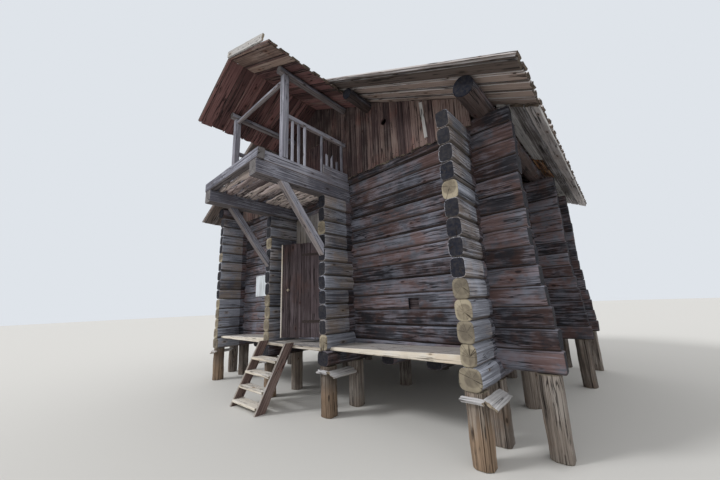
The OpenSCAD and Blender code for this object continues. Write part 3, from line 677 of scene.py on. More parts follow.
def hewn(size: Size, hewing: Hewing, rng: random.Random, upright: bool = False,
         outline: Optional[Callable[[float], tuple[float, float]]] = None,
         square_at: Optional[Callable[[float], float]] = None) -> Part:
    """A log, post, pole or beam along X about the origin, with its grain map.

    Args:
        size: its length, width and height.
        hewing: how it was shaped.
        rng: the random source.
        upright: its checks may lie on any side.
        outline: the section's half sizes at an angle, where it isn't a rounded square.
        square_at: how square it is at a place along X, where that changes.

    Returns:
        The timber.
    """
    length, width, height = size
    points = ring_angles(hewing, rng, upright)
    count = len(points)
    rings = max(4, round(length / hewing.ring) + 3) + 2
    part = bmesh.new()
    grain = part.loops.layers.uv.new("grain")
    bmesh.ops.create_cone(part, cap_ends=True, cap_tris=False, segments=count,
                          radius1=1.0, radius2=1.0, depth=1.0)
    long_edges = [e for e in part.edges if abs(e.verts[0].co.z - e.verts[1].co.z) > 0.5]
    bmesh.ops.subdivide_edges(part, edges=long_edges, cuts=rings - 2)
    ends = [(length / 2 - rng.uniform(0, hewing.short), hewing.chamfer * rng.uniform(0.6, 1.3),
             1 - rng.uniform(0, hewing.end_shrink), 1 - rng.uniform(0, hewing.end_shrink) * 0.6)
            for _ in (0, 1)]
    (low, low_round, _, _), (high, high_round, _, _) = ends
    first, last = -low + low_round, high - high_round
    stations = [-low, -low + low_round * 0.3]
    stations += [first + (last - first) * i / (rings - 5) for i in range(rings - 4)]
    stations += [high - high_round * 0.3, high]
    seeds = [rng.uniform(0, 90) for _ in range(6)]
    tilt = (rng.uniform(-1, 1) * hewing.tilt, rng.uniform(-1, 1) * hewing.tilt)
    sections = []
    for x in stations:
        square = square_at(x) if square_at else hewing.squareness
        sections.append([outline(a) if outline else section_point(a, width, height, square, hewing.sides)
                         for a, _ in points])
    middle = sections[rings // 2]
    around = [0.0]
    for a, b in zip(middle, middle[1:] + middle[:1]):
        around.append(around[-1] + math.hypot(b[0] - a[0], b[1] - a[1]))
    spots = {v: (round((v.co.z + 0.5) * (rings - 1)),
                 round(math.atan2(v.co.y, v.co.x) / (2 * math.pi) * count) % count) for v in part.verts}
    along, across = HOLLOWS
    fine_along, fine_across, share = FINE_HOLLOWS
    for vert, (i, j) in spots.items():
        x = stations[i]
        y, z = sections[i][j]
        lump = noise_at(x * along + seeds[0], y * across + seeds[1], z * across) * hewing.lump
        fine = noise_at(x * fine_along + seeds[1], y * fine_across, z * fine_across + seeds[0])
        lump += fine * hewing.lump * share
        if points[j][1] > 0 and 2 < i < rings - 3:
            opened = clamp(noise_at(x * 0.8 + seeds[2], j * 3.1, 0) * 3.0 + 0.55)
            lump -= hewing.check_depth * opened
        elif points[j][1] > 0:
            lump -= hewing.check_depth * 0.8
        reached, rounding, narrow, flat = ends[0] if x < 0 else ends[1]
        near = max(0.0, 1 - (reached - abs(x)) / 0.3)
        lump -= rounding * (1.0 if i in (0, rings - 1) else 0.35 if i in (1, rings - 2) else 0.0)
        grow = 1 + lump / max(math.hypot(y, z), 0.01)
        if i in (0, rings - 1):
            x += tilt[0] * y + tilt[1] * z
        bend_y = noise_at(x * BENDS + seeds[3], 0, 0) * hewing.bend
        bend_z = noise_at(x * BENDS + seeds[4], 5, 0) * hewing.bend * 0.5
        vert.co = Vector((x, y * grow * (1 - near * (1 - narrow)) + bend_y,
                          z * grow * (1 - near * (1 - flat)) + bend_z))
    start, side = rng.uniform(0, GRAIN_SHIFT), rng.uniform(0, GRAIN_SHIFT)
    heart = Vector((0, rng.uniform(-0.12, 0.12) * width, rng.uniform(-0.12, 0.12) * height))
    for face in part.faces:
        marks = [spots[loop.vert] for loop in face.loops]
        rows = {m[0] for m in marks}
        wraps = len(rows) > 1 and {m[1] for m in marks} == {0, count - 1}
        end = len(rows) == 1 or min(rows) < hewing.end_rings or max(rows) > rings - 1 - hewing.end_rings
        face.material_index = END if end else FLAT
        face.smooth = True
        for loop, (i, j) in zip(face.loops, marks):
            spot = stations[i] + start, around[count if wraps and j == 0 else j] + side
            loop[grain].uv = (loop.vert.co - heart).yz if end else spot
    bmesh.ops.poke(part, faces=[f for f in part.faces if len(f.verts) > 4])
    return part


def sawn(size: Size, sawing: Sawing, rng: random.Random, faces: tuple[int, int, int] = (FLAT, END, EDGE),
         taper: float = 0.0) -> Part:
    """A board along X about the origin, flat in XY, with its grain map.

    Args:
        size: its length along X, width and thickness.
        sawing: how it has worn.
        rng: the random source.
        faces: the numbers of the finishes on its flats, ends and edges.
        taper: how much lower its upper face is at its low X end.

    Returns:
        The board.
    """
    length, width, thickness = size
    part = bmesh.new()
    grain = part.loops.layers.uv.new("grain")
    bmesh.ops.create_cube(part, size=1.0)
    bmesh.ops.scale(part, vec=size, verts=part.verts)

    def runs(axis: int) -> list[bmesh.types.BMEdge]:
        """Edges that run along an axis."""
        ways = [(e, e.verts[0].co - e.verts[1].co) for e in part.edges]
        return [e for e, way in ways if way.length > 1e-6 and abs(way.normalized()[axis]) > 0.99]

    edge = min(sawing.edge, thickness * 0.35, width * 0.35)
    bmesh.ops.bevel(part, geom=runs(0), offset=edge, offset_type="OFFSET", segments=1, profile=0.5,
                    affect="EDGES", material=-1)
    bmesh.ops.subdivide_edges(part, edges=runs(0), cuts=max(1, round(length / sawing.step)))
    if sawing.across:
        flats = [e for e in runs(1) if abs(e.verts[0].co.z) > thickness * 0.45]
        bmesh.ops.subdivide_edges(part, edges=flats, cuts=sawing.across, use_grid_fill=True)
    start, side = rng.uniform(0, GRAIN_SHIFT), rng.uniform(0, GRAIN_SHIFT)
    for face in part.faces:
        normal = face.normal
        end = abs(normal.x) > 0.9
        face.material_index = faces[END if end else EDGE if abs(normal.y) > 0.5 else FLAT]
        for loop in face.loops:
            co = loop.vert.co
            if end:
                loop[grain].uv = (co.y + width * 0.6, co.z + 0.05)
            elif abs(normal.z) > 0.8:
                loop[grain].uv = (co.x + start, co.y + side + (0 if normal.z > 0 else width + thickness))
            else:
                loop[grain].uv = (co.x + start, co.z + side + math.copysign(width / 2, normal.y))
    seeds = [rng.uniform(0, 90) for _ in range(4)]
    twist = rng.uniform(-1, 1) * sawing.twist
    for vert in part.verts:
        co = vert.co
        t = co.x / length
        lift = noise_at(co.x * 0.6 + seeds[0], co.y * 2, 0) * sawing.bow
        lift += twist * t * co.y / max(width, 0.01)
        if taper and co.z > 0:
            lift -= taper * (0.5 - t)
        wander = noise_at(co.x * 1.1 + seeds[1], math.copysign(4, co.y), 0) * sawing.wander
        if sawing.chew:
            bite = max(0.0, noise_at(co.x * 9 + seeds[3], math.copysign(7, co.y), 0) + 0.12)
            wander -= math.copysign(bite * sawing.chew, co.y) * abs(co.y / width) * 2
        ragged = 0.0
        if abs(t) > 0.49:
            ragged = noise_at(co.y * 31 + seeds[2], math.copysign(9, t), co.z * 20) * sawing.ragged
        vert.co = Vector((co.x + ragged, co.y + wander, co.z + lift))
    return part


def cut_off(part: Part, point: Vector, normal: Vector) -> None:
    """Cuts away what lies beyond a plane and closes the cut.

    Args:
        part: the timber.
        point: a point of the plane.
        normal: points to what is cut away.
    """
    geom = part.verts[:] + part.edges[:] + part.faces[:]
    cut = bmesh.ops.bisect_plane(part, geom=geom, dist=1e-5, plane_co=point, plane_no=normal,
                                 clear_outer=True)
    edges = [e for e in cut["geom_cut"] if isinstance(e, bmesh.types.BMEdge)]
    if not edges:
        return
    grain = part.loops.layers.uv["grain"]
    for face in bmesh.ops.contextual_create(part, geom=edges)["faces"]:
        face.material_index = END
        for loop in face.loops:
            co = loop.vert.co - point
            loop[grain].uv = (co.x + co.y * 0.3 + 0.1, co.z + co.y * 0.7 + 0.1)


def pointing(origin: Vector, along: Vector, up: Vector) -> Matrix:
    """The place of a timber whose length runs along one way and whose height runs up another.

    Args:
        origin: its middle.
        along: the way of its length.
        up: roughly the way of its height.

    Returns:
        Its matrix.
    """
    x = along.normalized()
    y = up.cross(x).normalized()
    turn = Matrix((x, y, x.cross(y))).transposed().to_4x4()
    return Matrix.Translation(origin) @ turn


def add_object(name: str, mesh: Part) -> bpy.types.Object:
    """Makes a mesh an object of the scene, in its own place.

    Args:
        name: the object's name.
        mesh: its mesh, which is used up.

    Returns:
        The object.
    """
    data = bpy.data.meshes.new(name)
    mesh.to_mesh(data)
    mesh.free()
    made = bpy.data.objects.new(name, data)
    bpy.context.scene.collection.objects.link(made)
    return made


def bore(part: Part, centre: Vector, radius: float) -> Part:
    """Cuts a round hole along Y through one timber.

    Args:
        part: the timber, which is used up.
        centre: a point on the hole's axis.
        radius: its radius.

    Returns:
        The timber with its hole.
    """
    tool = bmesh.new()
    bmesh.ops.create_cone(tool, cap_ends=True, segments=24, radius1=radius, radius2=radius, depth=0.3)
    turn = Matrix.Translation(centre) @ Matrix.Rotation(math.pi / 2, 4, "X")
    bmesh.ops.transform(tool, matrix=turn, verts=tool.verts)
    board, drill = add_object("board", part), add_object("drill", tool)
    cut = board.modifiers.new("hole", "BOOLEAN")
    cut.operation = "DIFFERENCE"
    cut.solver = "EXACT"
    cut.object = drill
    bpy.context.view_layer.update()
    graph = bpy.context.evaluated_depsgraph_get()
    kept = bpy.data.meshes.new_from_object(board.evaluated_get(graph))
    bored = bmesh.new()
    bored.from_mesh(kept)
    for data in (kept, board.data, drill.data):
        bpy.data.meshes.remove(data)
    return bored


class Timbers:
    """One piece of the scene, made of timbers that are laid one by one."""

    def __init__(self, name: str, seed: int) -> None:
        """Starts an empty piece; the seed fixes its random choices."""
        self.name = name
        self.rng = random.Random(seed)
        self.mesh = bmesh.new()
        self.mesh.loops.layers.uv.new("grain")
        self.mesh.loops.layers.uv.new("tone")

    def lay(self, part: Part, place: Optional[Matrix] = None, tone: Optional[float] = None,
            end: Optional[float] = None) -> None:
        """Puts a timber in its place.

        Args:
            part: the timber, which is used up.
            place: where it goes, unless it is there.
            tone: how light it is, from 0 to 1.
            end: how black its ends are, from 0 to 1.
        """
        tone = self.rng.random() if tone is None else tone
        end = self.rng.uniform(0.1, 0.5) if end is None else end
        layer = part.loops.layers.uv.new("tone")
        for face in part.faces:
            for loop in face.loops:
                loop[layer].uv = (tone, end)
        if place:
            bmesh.ops.transform(part, matrix=place, verts=part.verts)
        bmesh.ops.recalc_face_normals(part, faces=part.faces)
        kept = bpy.data.meshes.new("timber")
        part.to_mesh(kept)
        part.free()
        self.mesh.from_mesh(kept)
        bpy.data.meshes.remove(kept)

    def board(self, size: Size, sawing: Sawing, place: Matrix, tone: Optional[float] = None,
              cuts: Sequence[tuple[Vector, Vector]] = (), **shape) -> None:
        """Saws a board and lays it.

        Args:
            size: its length, width and thickness.
            sawing: how it has worn.
            place: where it goes.
            tone: how light it is, from 0 to 1.
            cuts: planes that cut it off, each with a point and the way to what goes.
            **shape: what sawn takes besides.
        """
        part = sawn(size, sawing, self.rng, **shape)
        bmesh.ops.transform(part, matrix=place, verts=part.verts)
        for point, normal in cuts:
            cut_off(part, point, normal)
        self.lay(part, tone=tone)

    def finish(self, slot: Slot, materials: Materials, *nodes: str, body: Body = Body.BUILDING) -> None:
        """Makes the piece an object that rides on a body and stands for its nodes.

        Args:
            slot: the record's slot; not used.
            materials: the side's and the end's finish, and others.
            *nodes: the nodes it stands for.
            body: the body it rides on.
        """
        piece = add_object(self.name, self.mesh)
        for material in materials if len(materials) > EDGE else (*materials, materials[FLAT]):
            piece.data.materials.append(material)
        piece.data.shade_smooth()
        piece.data.set_sharp_from_angle(angle=math.radians(SHARP_ANGLE))
        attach(piece, body.value)
        if nodes:
            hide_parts(*nodes)
        log.info("%s: %d faces for %s", self.name, len(piece.data.polygons), ", ".join(nodes) or "no node")


class Finishes:
    """All the finishes of the part, made once.

    A wood's colours are its dark, middle and light grain, its silver bloom, its checks and its stain.
    """

    def __init__(self) -> None:
        """Makes every material."""
        wood = WeatheredWood
        # Hewn with the axe and left to the rain: bluish grey with brown patches and long dark seams.
        self.log = wood("hewn_larch_log_weathered", "#27262b", "#434248", "#696a73", "#8a8e9c", "#131216",
                        "#5d423a", sheltered="#453a36", bleach=0.42, stained=0.62, spread=0.5,
                        check_width=0.03, patch_mm=430.0, streak_mm=(620.0, 30.0),
                        fibre_mm=(130.0, 5.0)).make()
        # The same logs near their ends, where sun and rain reach all sides: bleached, with tan stains.
        self.log_tip = wood("hewn_larch_log_bleached_tip", "#494a52", "#73767f", "#989ba6", "#afb4c1",
                            "#1d1b1e", "#857059", stained=0.55, bleach=0.65, sheltered="#585049").make()
        # Cut across with the axe: tan with growth rings and cracks on the lower ends, which is painted
        # sunlight; nearly black on the higher ends, which is painted shade.
        self.log_end = EndGrain("larch_end_grain", "#958b78", "#70675a", "#1a1d29", "#b0a691",
                                rim_from=0.078).make()
        # Sawn ends gone grey with the beams they belong to.
        self.grey_end = EndGrain("plank_end_grain_grey", "#8f8c8c", "#6c6868", "#39373b", "#8f8c8c").make()
        # Sawn ends of boards, still tan.
        self.pale_end = EndGrain("plank_end_grain", "#a59a88", "#85796a", "#57514b", "#a59a88").make()
        # Sawn ends of roof boards, wet for long and nearly brown-black.
        self.dark_end = EndGrain("plank_end_grain_dark", "#6d6257", "#4a423b", "#2b2623", "#6d6257").make()
        # Hewn posts that split as they dried: grey-brown above, with a warm tan foot that is painted
        # sunlight.
        self.post = wood("hewn_post_painted_sunlit_foot", "#3a3330", "#5d534b", "#83776b", "#a39a90", "#1d1613",
                         "#6b5442", foot="#86715d", bleach=0.45, check_mm=(1100.0, 45.0),
                         check_width=0.03, sky=0.0).make()
        # The posts further in, grey to the ground.
        self.far_post = wood("hewn_post_grey", "#3c3634", "#5f5751", "#8a8077", "#a8a4a0", "#1b1715",
                             "#6b5848", sky=0.0, check_mm=(1100.0, 45.0), check_width=0.03).make()
        # Sawn beams in full weather: an even silver-grey with fine dark checks.
        self.grey = wood("sawn_pine_silver_grey", "#5b5b65", "#888893", "#aeafbb", "#c6c9d6", "#262429",
                         "#776a68", stained=0.4, spread=0.45, sheltered="#7d7472").make()
        # Wide sawn planks with many knots, pale grey with wide black checks; the pale grey is partly painted
        # light, from below under the eaves and as sunlight on the roof boards' edges.
        self.eave = wood("eave_plank_knotty", "#65605e", "#a19a99", "#c9c3c1", "#d2d0d4", "#1c1817",
                         "#7d675a", stained=0.5, knot_share=0.6, knots=0.9, check_width=0.04,
                         spread=0.6).make()
        # Thin boards bleached by sun: nearly white, lightly stained; on the board at the balcony roof's front
        # edge the white is also painted sunlight.
        self.bleached_and_sunlit = wood("bleached_board", "#6e6c70", "#9a9898", "#bcbab6", "#c8c8cc", "#2e2b2a",
                             "#8a7c6a", stained=0.4).make()
        # Split roof boards: grey on top and light brown beneath, each of its own tone; the light brown
        # beneath is partly painted bounce light.
        self.roof = wood("split_roof_board", "#433e3c", "#6f6863", "#9a938c", "#b0adab", "#1f1b1a",
                         "#6a5548", sheltered="#8d7d75", check_width=0.035, spread=0.95).make()
        # Rough split poles: pale, with short wide gashes.
        self.deck = wood("deck_pole_split", "#4c4142", "#8f8180", "#cdbfb8", "#cfc6c2", "#1a1516",
                         "#7d665f", stained=0.5, sky=0.5, check_mm=(420.0, 50.0), check_width=0.07,
                         relief_mm=6.0, spread=0.6).make()
        # Sawn pine that no rain reaches: red-brown below, lightened there as painted bounce light, grey where
        # it lies open to the sky.
        self.brown = wood("sheltered_pine_brown", "#3a2d30", "#594546", "#7c625e", "#95908e", "#191214",
                          "#64403b", bleach=0.25, sheltered="#755452", sky=1.0, check_width=0.035,
                          spread=0.4).make()
        # Painted sunlight on the underside of the balcony roof's front boards: tan, with brown stains.
        self.fresh = wood("sheltered_pine_tan", "#4a3d3a", "#7f6a60", "#a48f83", "#a39c98", "#241a16",
                          "#75503e", sky=1.0, bleach=0.3, check_width=0.035, stained=0.5).make()
        # Upright sawn boards under the roof: brown with reddish and dark streaks.
        self.gable = wood("gable_board_weathered", "#322728", "#4f3f3f", "#7b6862", "#988c86", "#160f10",
                          "#5f3a34", bleach=0.35, sky=0.0, stained=0.7, check_width=0.035,
                          spread=0.55).make()
        # Close sawn boards: an even dark brown, partly painted shade.
        self.door = wood("door_board_painted_shade", "#2d2527", "#43393b", "#62565a", "#807a7f", "#120d0d",
                         "#4d352e", bleach=0.2, sky=0.0, check_width=0.035, spread=0.25).make()
        # Planks worn clean by feet: pale and dry, with few marks; on the treads, the ledges' front edges
        # and the door's free edge the paleness is also painted sunlight.
        self.pale = wood("worn_plank_pale_and_sunlit", "#90877a", "#bab0a1", "#d8d0c2", "#cccccf", "#4c4237",
                         "#a18a6c", knots=0.6, stained=0.4, spread=0.5).make()
        # The same planks where fewer feet go: dusty grey-brown.
        self.worn = wood("worn_plank_grey", "#5c554f", "#857d75", "#aaa197", "#a9abb2", "#332c27",
                         "#7c6750", stained=0.4).make()
        # Wood that rot has opened into fibres: orange-brown to cream.
        self.rotten = wood("rotted_splinters", "#3c2418", "#7d4b2c", "#b58354", "#c0aa95", "#26140e",
                           "#5e2f1c", knots=0.0, spread=1.3, bleach=0.7).make()
        # Forged under the hammer, then rusted: matt brown with dark bare spots.
        self.iron = ForgedIron("forged_iron_rusty", rust="#3d2c25", dark="#262223").make()
        # Brushed with white paint that has gone chalky: matt, with grey streaks of rain.
        self.paint = PaintedSheet("sheet_old_white_paint", paint="#d3d9df", stain="#a9aeb2").make()


class Frame:
    """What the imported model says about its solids."""

    def __init__(self, loaded: dict) -> None:
        """Keeps the nodes by name, and the foot of the door's hinge."""
        self.nodes = loaded["nodes"]
        x, y, _ = loaded["joints"][0]["pos_m"]
        self.hinge = Vector((x, y, 0))

    def solids(self, node: str) -> list[Box]:
        """The boxes of a node's separate solids.

        Args:
            node: the node's name.

        Returns:
            One box a solid, from the lowest up.
        """
        copy = bmesh.new()
        copy.from_mesh(self.nodes[node].data)
        bmesh.ops.remove_doubles(copy, verts=copy.verts, dist=1e-5)
        seen = set()
        boxes = []
        for first in copy.verts:
            if first in seen:
                continue
            members = [first]
            seen.add(first)
            for vert in members:
                fresh = {edge.other_vert(vert) for edge in vert.link_edges} - seen
                seen |= fresh
                members += fresh
            low, high = (Vector([pick(m.co[i] for m in members) for i in range(3)]) for pick in (min, max))
            boxes.append(Box(low, high))
        copy.free()
        return sorted(boxes, key=lambda b: (round(b.low.z, 3), round(b.low.y, 3), round(b.low.x, 3)))

    def box(self, node: str) -> Box:
        """The box of a whole node."""
        return Box(*map(Vector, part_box(node)))


@dataclass
class Assembly:
    """What each part of the building is made from."""

    frame: Frame
    finishes: Finishes

    def timbers(self, piece: Timbers, node: str, hewing: Hewing, way: Optional[Along] = None,
                end: Optional[float] = None) -> None:
        """Hewn timbers that fill a node's solids.

        Args:
            piece: the piece they belong to.
            node: the node.
            hewing: how they were shaped.
            way: the way they run, unless it is each one's own longer side.
            end: how black their ends are.
        """
        for box in self.frame.solids(node):
            own = way or (Along.X if box.size.x > box.size.y else Along.Y)
            length, width, height = own.sizes(box.size)
            if hewing.thin:
                width *= piece.rng.uniform(*hewing.thin)
            part = hewn((length, width, height), hewing, piece.rng, upright=own is Along.Z)
            piece.lay(part, box.place(own), end=end)

    def upright_boards(self, piece: Timbers, box: Box, count: int, gap: float, sawing: Sawing,
                       tone: Optional[float] = None) -> None:
        """Upright boards side by side.

        Args:
            piece: the piece they belong to.
            box: the space that they fill.
            count: how many there are.
            gap: the gap between two.
            sawing: how they have worn.
            tone: how light they are.
        """
        step = box.size.x / count
        for i in range(count):
            centre = Vector((box.low.x + step * (i + 0.5), box.centre.y, box.centre.z))
            piece.board((box.size.z, step - gap, box.size.y), sawing, pointing(centre, UP, -BACK), tone)


@dataclass
class LogWalls(Assembly):
    """The walls of hewn logs, saddle-notched where they cross."""

    hewing: Hewing = Hewing(end_shrink=0.09, short=0.014)
    swell: float = 0.004
    width: tuple[float, float] = (0.95, 1.03)
    roundness: tuple[float, float] = (3.2, 4.4)
    square: float = 4.0
    wing_square: float = 6.5
    wing_from: float = 3.36
    wing_blend: float = 0.08
    # Painted light on the side and porch walls' log ends: pale as painted sunlight below these heights
    # and on the course at the third; nearly black as painted shade elsewhere, within the two ranges below.
    sunlit_ends_below: float = 2.05
    porch_sunlit_ends_below: float = 1.2
    sunlit_end_height: float = 3.02
    black: tuple[float, float] = (0.96, 1.0)
    pale: tuple[float, float] = (0.0, 0.4)
    tip: float = 0.62
    vent_node: str = "front_wall_right"
    vent: tuple[float, float, float, float] = (2.11, 2.29, 1.58, 1.75)
    walls: tuple[tuple[str, str, Along], ...] = (
        ("right_side_logs", "side_wall_right", Along.Y),
        ("left_side_logs", "side_wall_left", Along.Y),
        ("right_porch_logs", "porch_wall_right", Along.Y),
        ("left_porch_logs", "porch_wall_left", Along.Y),
        ("front_logs_right", "front_wall_right", Along.X),
        ("front_logs_left", "front_wall_left", Along.X),
        ("front_logs_over_the_doorway", "front_wall_upper", Along.X),
        ("middle_wall_logs", "middle_wall", Along.X),
        ("back_wall_logs", "back_wall", Along.X),
        ("bearer_logs", "floor_bearers", Along.Y),
    )

    def build(self) -> None:
        """Builds every wall, and the block in the vent."""
        f = self.finishes
        for seed, (name, node, way) in enumerate(self.walls):
            piece = Timbers(name, 100 + seed)
            for box in self.frame.solids(node):
                self._log(piece, box, way, node)
            piece.finish(Slot.LOG, (f.log, f.log_end, f.log_tip), node)
        block = Timbers("vent_block_of_wood", 120)
        box = self.frame.box("vent_block")
        block.board(box.size.xzy, Sawing(bow=0.0, twist=0.0, across=3, step=0.05),
                    pointing(box.centre, RIGHT, -BACK), tone=0.0)
        block.finish(Slot.BROWN, (f.door, f.dark_end), "vent_block")

    def _log(self, piece: Timbers, box: Box, way: Along, node: str) -> None:
        """One log.

        Args:
            piece: the wall.
            box: the solid that it stands for.
            way: the way it runs.
            node: the wall's node.
        """
        length, width, height = way.sizes(box.size)
        rng = piece.rng
        own = rng.uniform(*self.roundness)
        size = (length, width * rng.uniform(*self.width), height + 2 * self.swell)

        def square_at(x: float) -> float:
            """Squareness at a place along the log: the wings are hewn flat to their tips."""
            wing = clamp((abs(x + box.centre.x) - self.wing_from) / self.wing_blend)
            return own if way is Along.Y else self.square + (self.wing_square - self.square) * wing

        shown = way is Along.Y and node != "floor_bearers"
        # Painted light on the ends: pale, with end rings, when low or on the course at the given height; else
        # nearly black as painted shade.
        below = self.porch_sunlit_ends_below if node == "porch_wall_right" else self.sunlit_ends_below
        light = shown and (box.centre.z < below or abs(box.centre.z - self.sunlit_end_height) < 0.1)
        end = rng.uniform(*(self.pale if light else self.black))
        hewing = self.hewing if light else replace(self.hewing, end_rings=0)
        tone = rng.random()
        left, right, low, high = self.vent
        if node != self.vent_node or not box.low.z < (low + high) / 2 < box.high.z:
            part = hewn(size, hewing, rng, square_at=square_at)
            for face in part.faces if shown else ():
                if not face.material_index and face.calc_center_median().x < self.tip - length / 2:
                    face.material_index = EDGE
            piece.lay(part, box.place(way), tone, end)
            return
        state = rng.getstate()
        for cuts in (((left, RIGHT),), ((right, -RIGHT),), ((right, RIGHT), (left, -RIGHT), (high, -UP))):
            rng.setstate(state)
            part = hewn(size, hewing, rng, square_at=square_at)
            bmesh.ops.transform(part, matrix=box.place(way), verts=part.verts)
            for at, out in cuts:
                cut_off(part, Vector((at, 0, at if out.z else 0)), out)
            piece.lay(part, None, tone, end)


@dataclass
class Footing(Assembly):
    """The hewn posts, and the slanting boards that keep mice from the walls."""

    chamfer: float = 0.035
    guard_length: float = 0.52
    guard_width: float = 0.16
    front_guard_width: float = 0.07
    guard_thickness: float = 0.025
    guard_tilt: float = 28.0
    guard_shift: float = 0.13
    guard_top: float = 0.69
    hewing: Hewing = Hewing(bend=0.014, lump=0.013, checks=5, check_depth=0.032, chamfer=0.008, sides=24,
                            ring=0.1, tilt=0.01)

    def build(self) -> None:
        """Builds the posts and their guards."""
        f = self.finishes
        for seed, node in enumerate(("front_posts", "middle_posts", "back_posts", "wing_posts")):
            piece = Timbers("hewn_" + node, 140 + seed)
            for box in self.frame.solids(node):
                self._post(piece, box)
            # The front posts take the finish with the painted sunlit warm foot; the posts further in stay
            # grey.
            piece.finish(Slot.POST, (f.post if node == "front_posts" else f.far_post, f.log_end), node)
        self._guards()

    def _post(self, piece: Timbers, box: Box) -> None:
        """One post with chamfered corners.

        Args:
            piece: its row of posts.
            box: the solid that it stands for.
        """
        half = box.size.x / 2
        corner = (2 * half - self.chamfer * piece.rng.uniform(0.8, 2.2)) / math.sqrt(2)

        def outline(angle: float) -> tuple[float, float]:
            """Where a ray at this angle leaves the post."""
            c, s = abs(math.cos(angle)), abs(math.sin(angle))
            reach = min(half / max(c, 1e-6), half / max(s, 1e-6), corner * math.sqrt(2) / (c + s))
            return reach * math.cos(angle), reach * math.sin(angle)

        part = hewn((box.size.z, 2 * half, 2 * half), self.hewing, piece.rng, upright=True, outline=outline)
        for vert in part.verts:
            vert.co.x = clamp(vert.co.x, -box.size.z / 2, box.size.z / 2)
        piece.lay(part, box.place(Along.Z), end=0.4)

    def _guards(self) -> None:
        """The guard boards round the heads of the front posts."""
        piece = Timbers("mouse_guard_boards", 150)
        sawing = Sawing(bow=0.006, ragged=0.05, across=4, wander=0.008, step=0.12, chew=0.012)
        tilt = math.radians(self.guard_tilt)
        thick = self.guard_thickness
        for post in self.frame.solids("front_posts"):
            c, half = post.centre, post.size.x / 2
            for along, out, length, width, shift in (
                    (RIGHT, -BACK, 2 * half, self.front_guard_width, 0.0),
                    (BACK, RIGHT * math.copysign(1, c.x), self.guard_length, self.guard_width,
                     self.guard_shift)):
                slope = out * math.cos(tilt) - UP * math.sin(tilt)
                up = out * math.sin(tilt) + UP * math.cos(tilt)
                top = Vector((c.x, c.y, self.guard_top)) + out * half + along * shift
                middle = top + slope * width / 2 - up * thick / 2
                piece.board((length, width, thick), sawing, pointing(middle, along, up), tone=0.6)
        piece.finish(Slot.GREY, (self.finishes.bleached_and_sunlit, self.finishes.pale_end), "mouse_guards")


@dataclass
class Planks(Assembly):
    """Floors and ledges: worn planks laid side by side."""

    gap: float = 0.005
    taper: float = 0.06
    floors: tuple[tuple[str, str, Along, float], ...] = (
        ("front_room_boards", "front_room_floor", Along.Y, 0.22),
        ("back_room_boards", "back_room_floor", Along.Y, 0.22),
        ("porch_boards", "porch_floor", Along.X, 0.174),
        ("loft_boards", "upper_floor", Along.Y, 0.22),
    )

    def build(self) -> None:
        """Builds every floor, and the ledges, which are thinner at one end."""
        f = self.finishes
        # Board edges take the pale planks; on the ledges' front edges that is painted sunlight.
        finish = (f.worn, f.pale_end, f.pale)
        for seed, (name, node, way, width) in enumerate(self.floors):
            piece = Timbers(name, 160 + seed)
            self._floor(piece, self.frame.box(node), way, width)
            piece.finish(Slot.PALE, finish, node)
        for seed, node in enumerate(("ledge_right", "ledge_left")):
            piece = Timbers(node.replace("ledge", "ledge_plank"), 170 + seed)
            box = self.frame.box(node)
            sawing = Sawing(edge=0.006, bow=0.005, wander=0.008, ragged=0.006, step=0.15, across=4,
                            chew=0.006)
            piece.board(box.size, sawing, box.place(Along.X), tone=0.9, taper=self.taper)
            piece.finish(Slot.PALE, finish, node)

    def _floor(self, piece: Timbers, box: Box, way: Along, width: float) -> None:
        """Boards side by side over a box.

        Args:
            piece: the floor.
            box: the space of the whole floor.
            way: the way the boards run.
            width: about how wide they are.
        """
        length, span, thick = way.sizes(box.size)
        pitch = span / max(1, round(span / width))
        side = RIGHT if way is Along.Y else BACK
        for i in range(round(span / pitch)):
            shift = Matrix.Translation(side * (pitch * (i + 0.5) - span / 2))
            piece.board((length - PLAY, pitch - self.gap, thick), Sawing(bow=0.003, step=0.5, across=1),
                        shift @ box.place(way))


@dataclass
class Porch(Assembly):
    """Door frame, screen of upright boards and notice board."""

    timber: float = 0.1
    sill: float = 0.084
    board: float = 0.2

    def build(self) -> None:
        """Builds the porch's pieces."""
        f = self.finishes
        self._door_frame()
        screen = Timbers("door_screen_boards", 181)
        for box in self.frame.solids("door_screen"):
            self.upright_boards(screen, box, max(1, round(box.size.x / self.board)), PLAY,
                                Sawing(bow=0.004, ragged=0.006, across=2, wander=0.003))
        screen.finish(Slot.GREY, (f.worn, f.pale_end), "door_screen")
        notice = Timbers("notice_sheet", 182)
        box = self.frame.box("notice_board")
        sawing = Sawing(edge=0.002, bow=0.004, across=4, step=0.1, ragged=0.0, twist=0.0, wander=0.001)
        notice.board(box.size.xzy, sawing, pointing(box.centre, RIGHT, -BACK))
        notice.finish(Slot.PAINT, (f.paint, f.paint), "notice_board")

    def _door_frame(self) -> None:
        """Two jambs, sill and lintel."""
        piece = Timbers("door_frame_timbers", 180)
        box = self.frame.box("door_frame")
        sawing = Sawing(edge=0.006, bow=0.003, across=1, ragged=0.002)
        wide, deep, high = box.size
        middle = box.centre
        jamb = high - self.sill - self.timber
        for s in (-1, 1):
            at = Vector((middle.x + s * (wide - self.timber) / 2, middle.y, box.low.z + self.sill + jamb / 2))
            piece.board((jamb, deep, self.timber), sawing, Matrix.Translation(at) @ Along.Z.turn(), tone=0.3)
        sill, lintel = box.low.z + self.sill / 2, box.high.z - self.timber / 2
        for z, height in ((sill, self.sill), (lintel, self.timber)):
            piece.board((wide, deep, height), sawing, Matrix.Translation((middle.x, middle.y, z)), tone=0.4)
        piece.finish(Slot.GREY, (self.finishes.grey, self.finishes.pale_end), "door_frame")


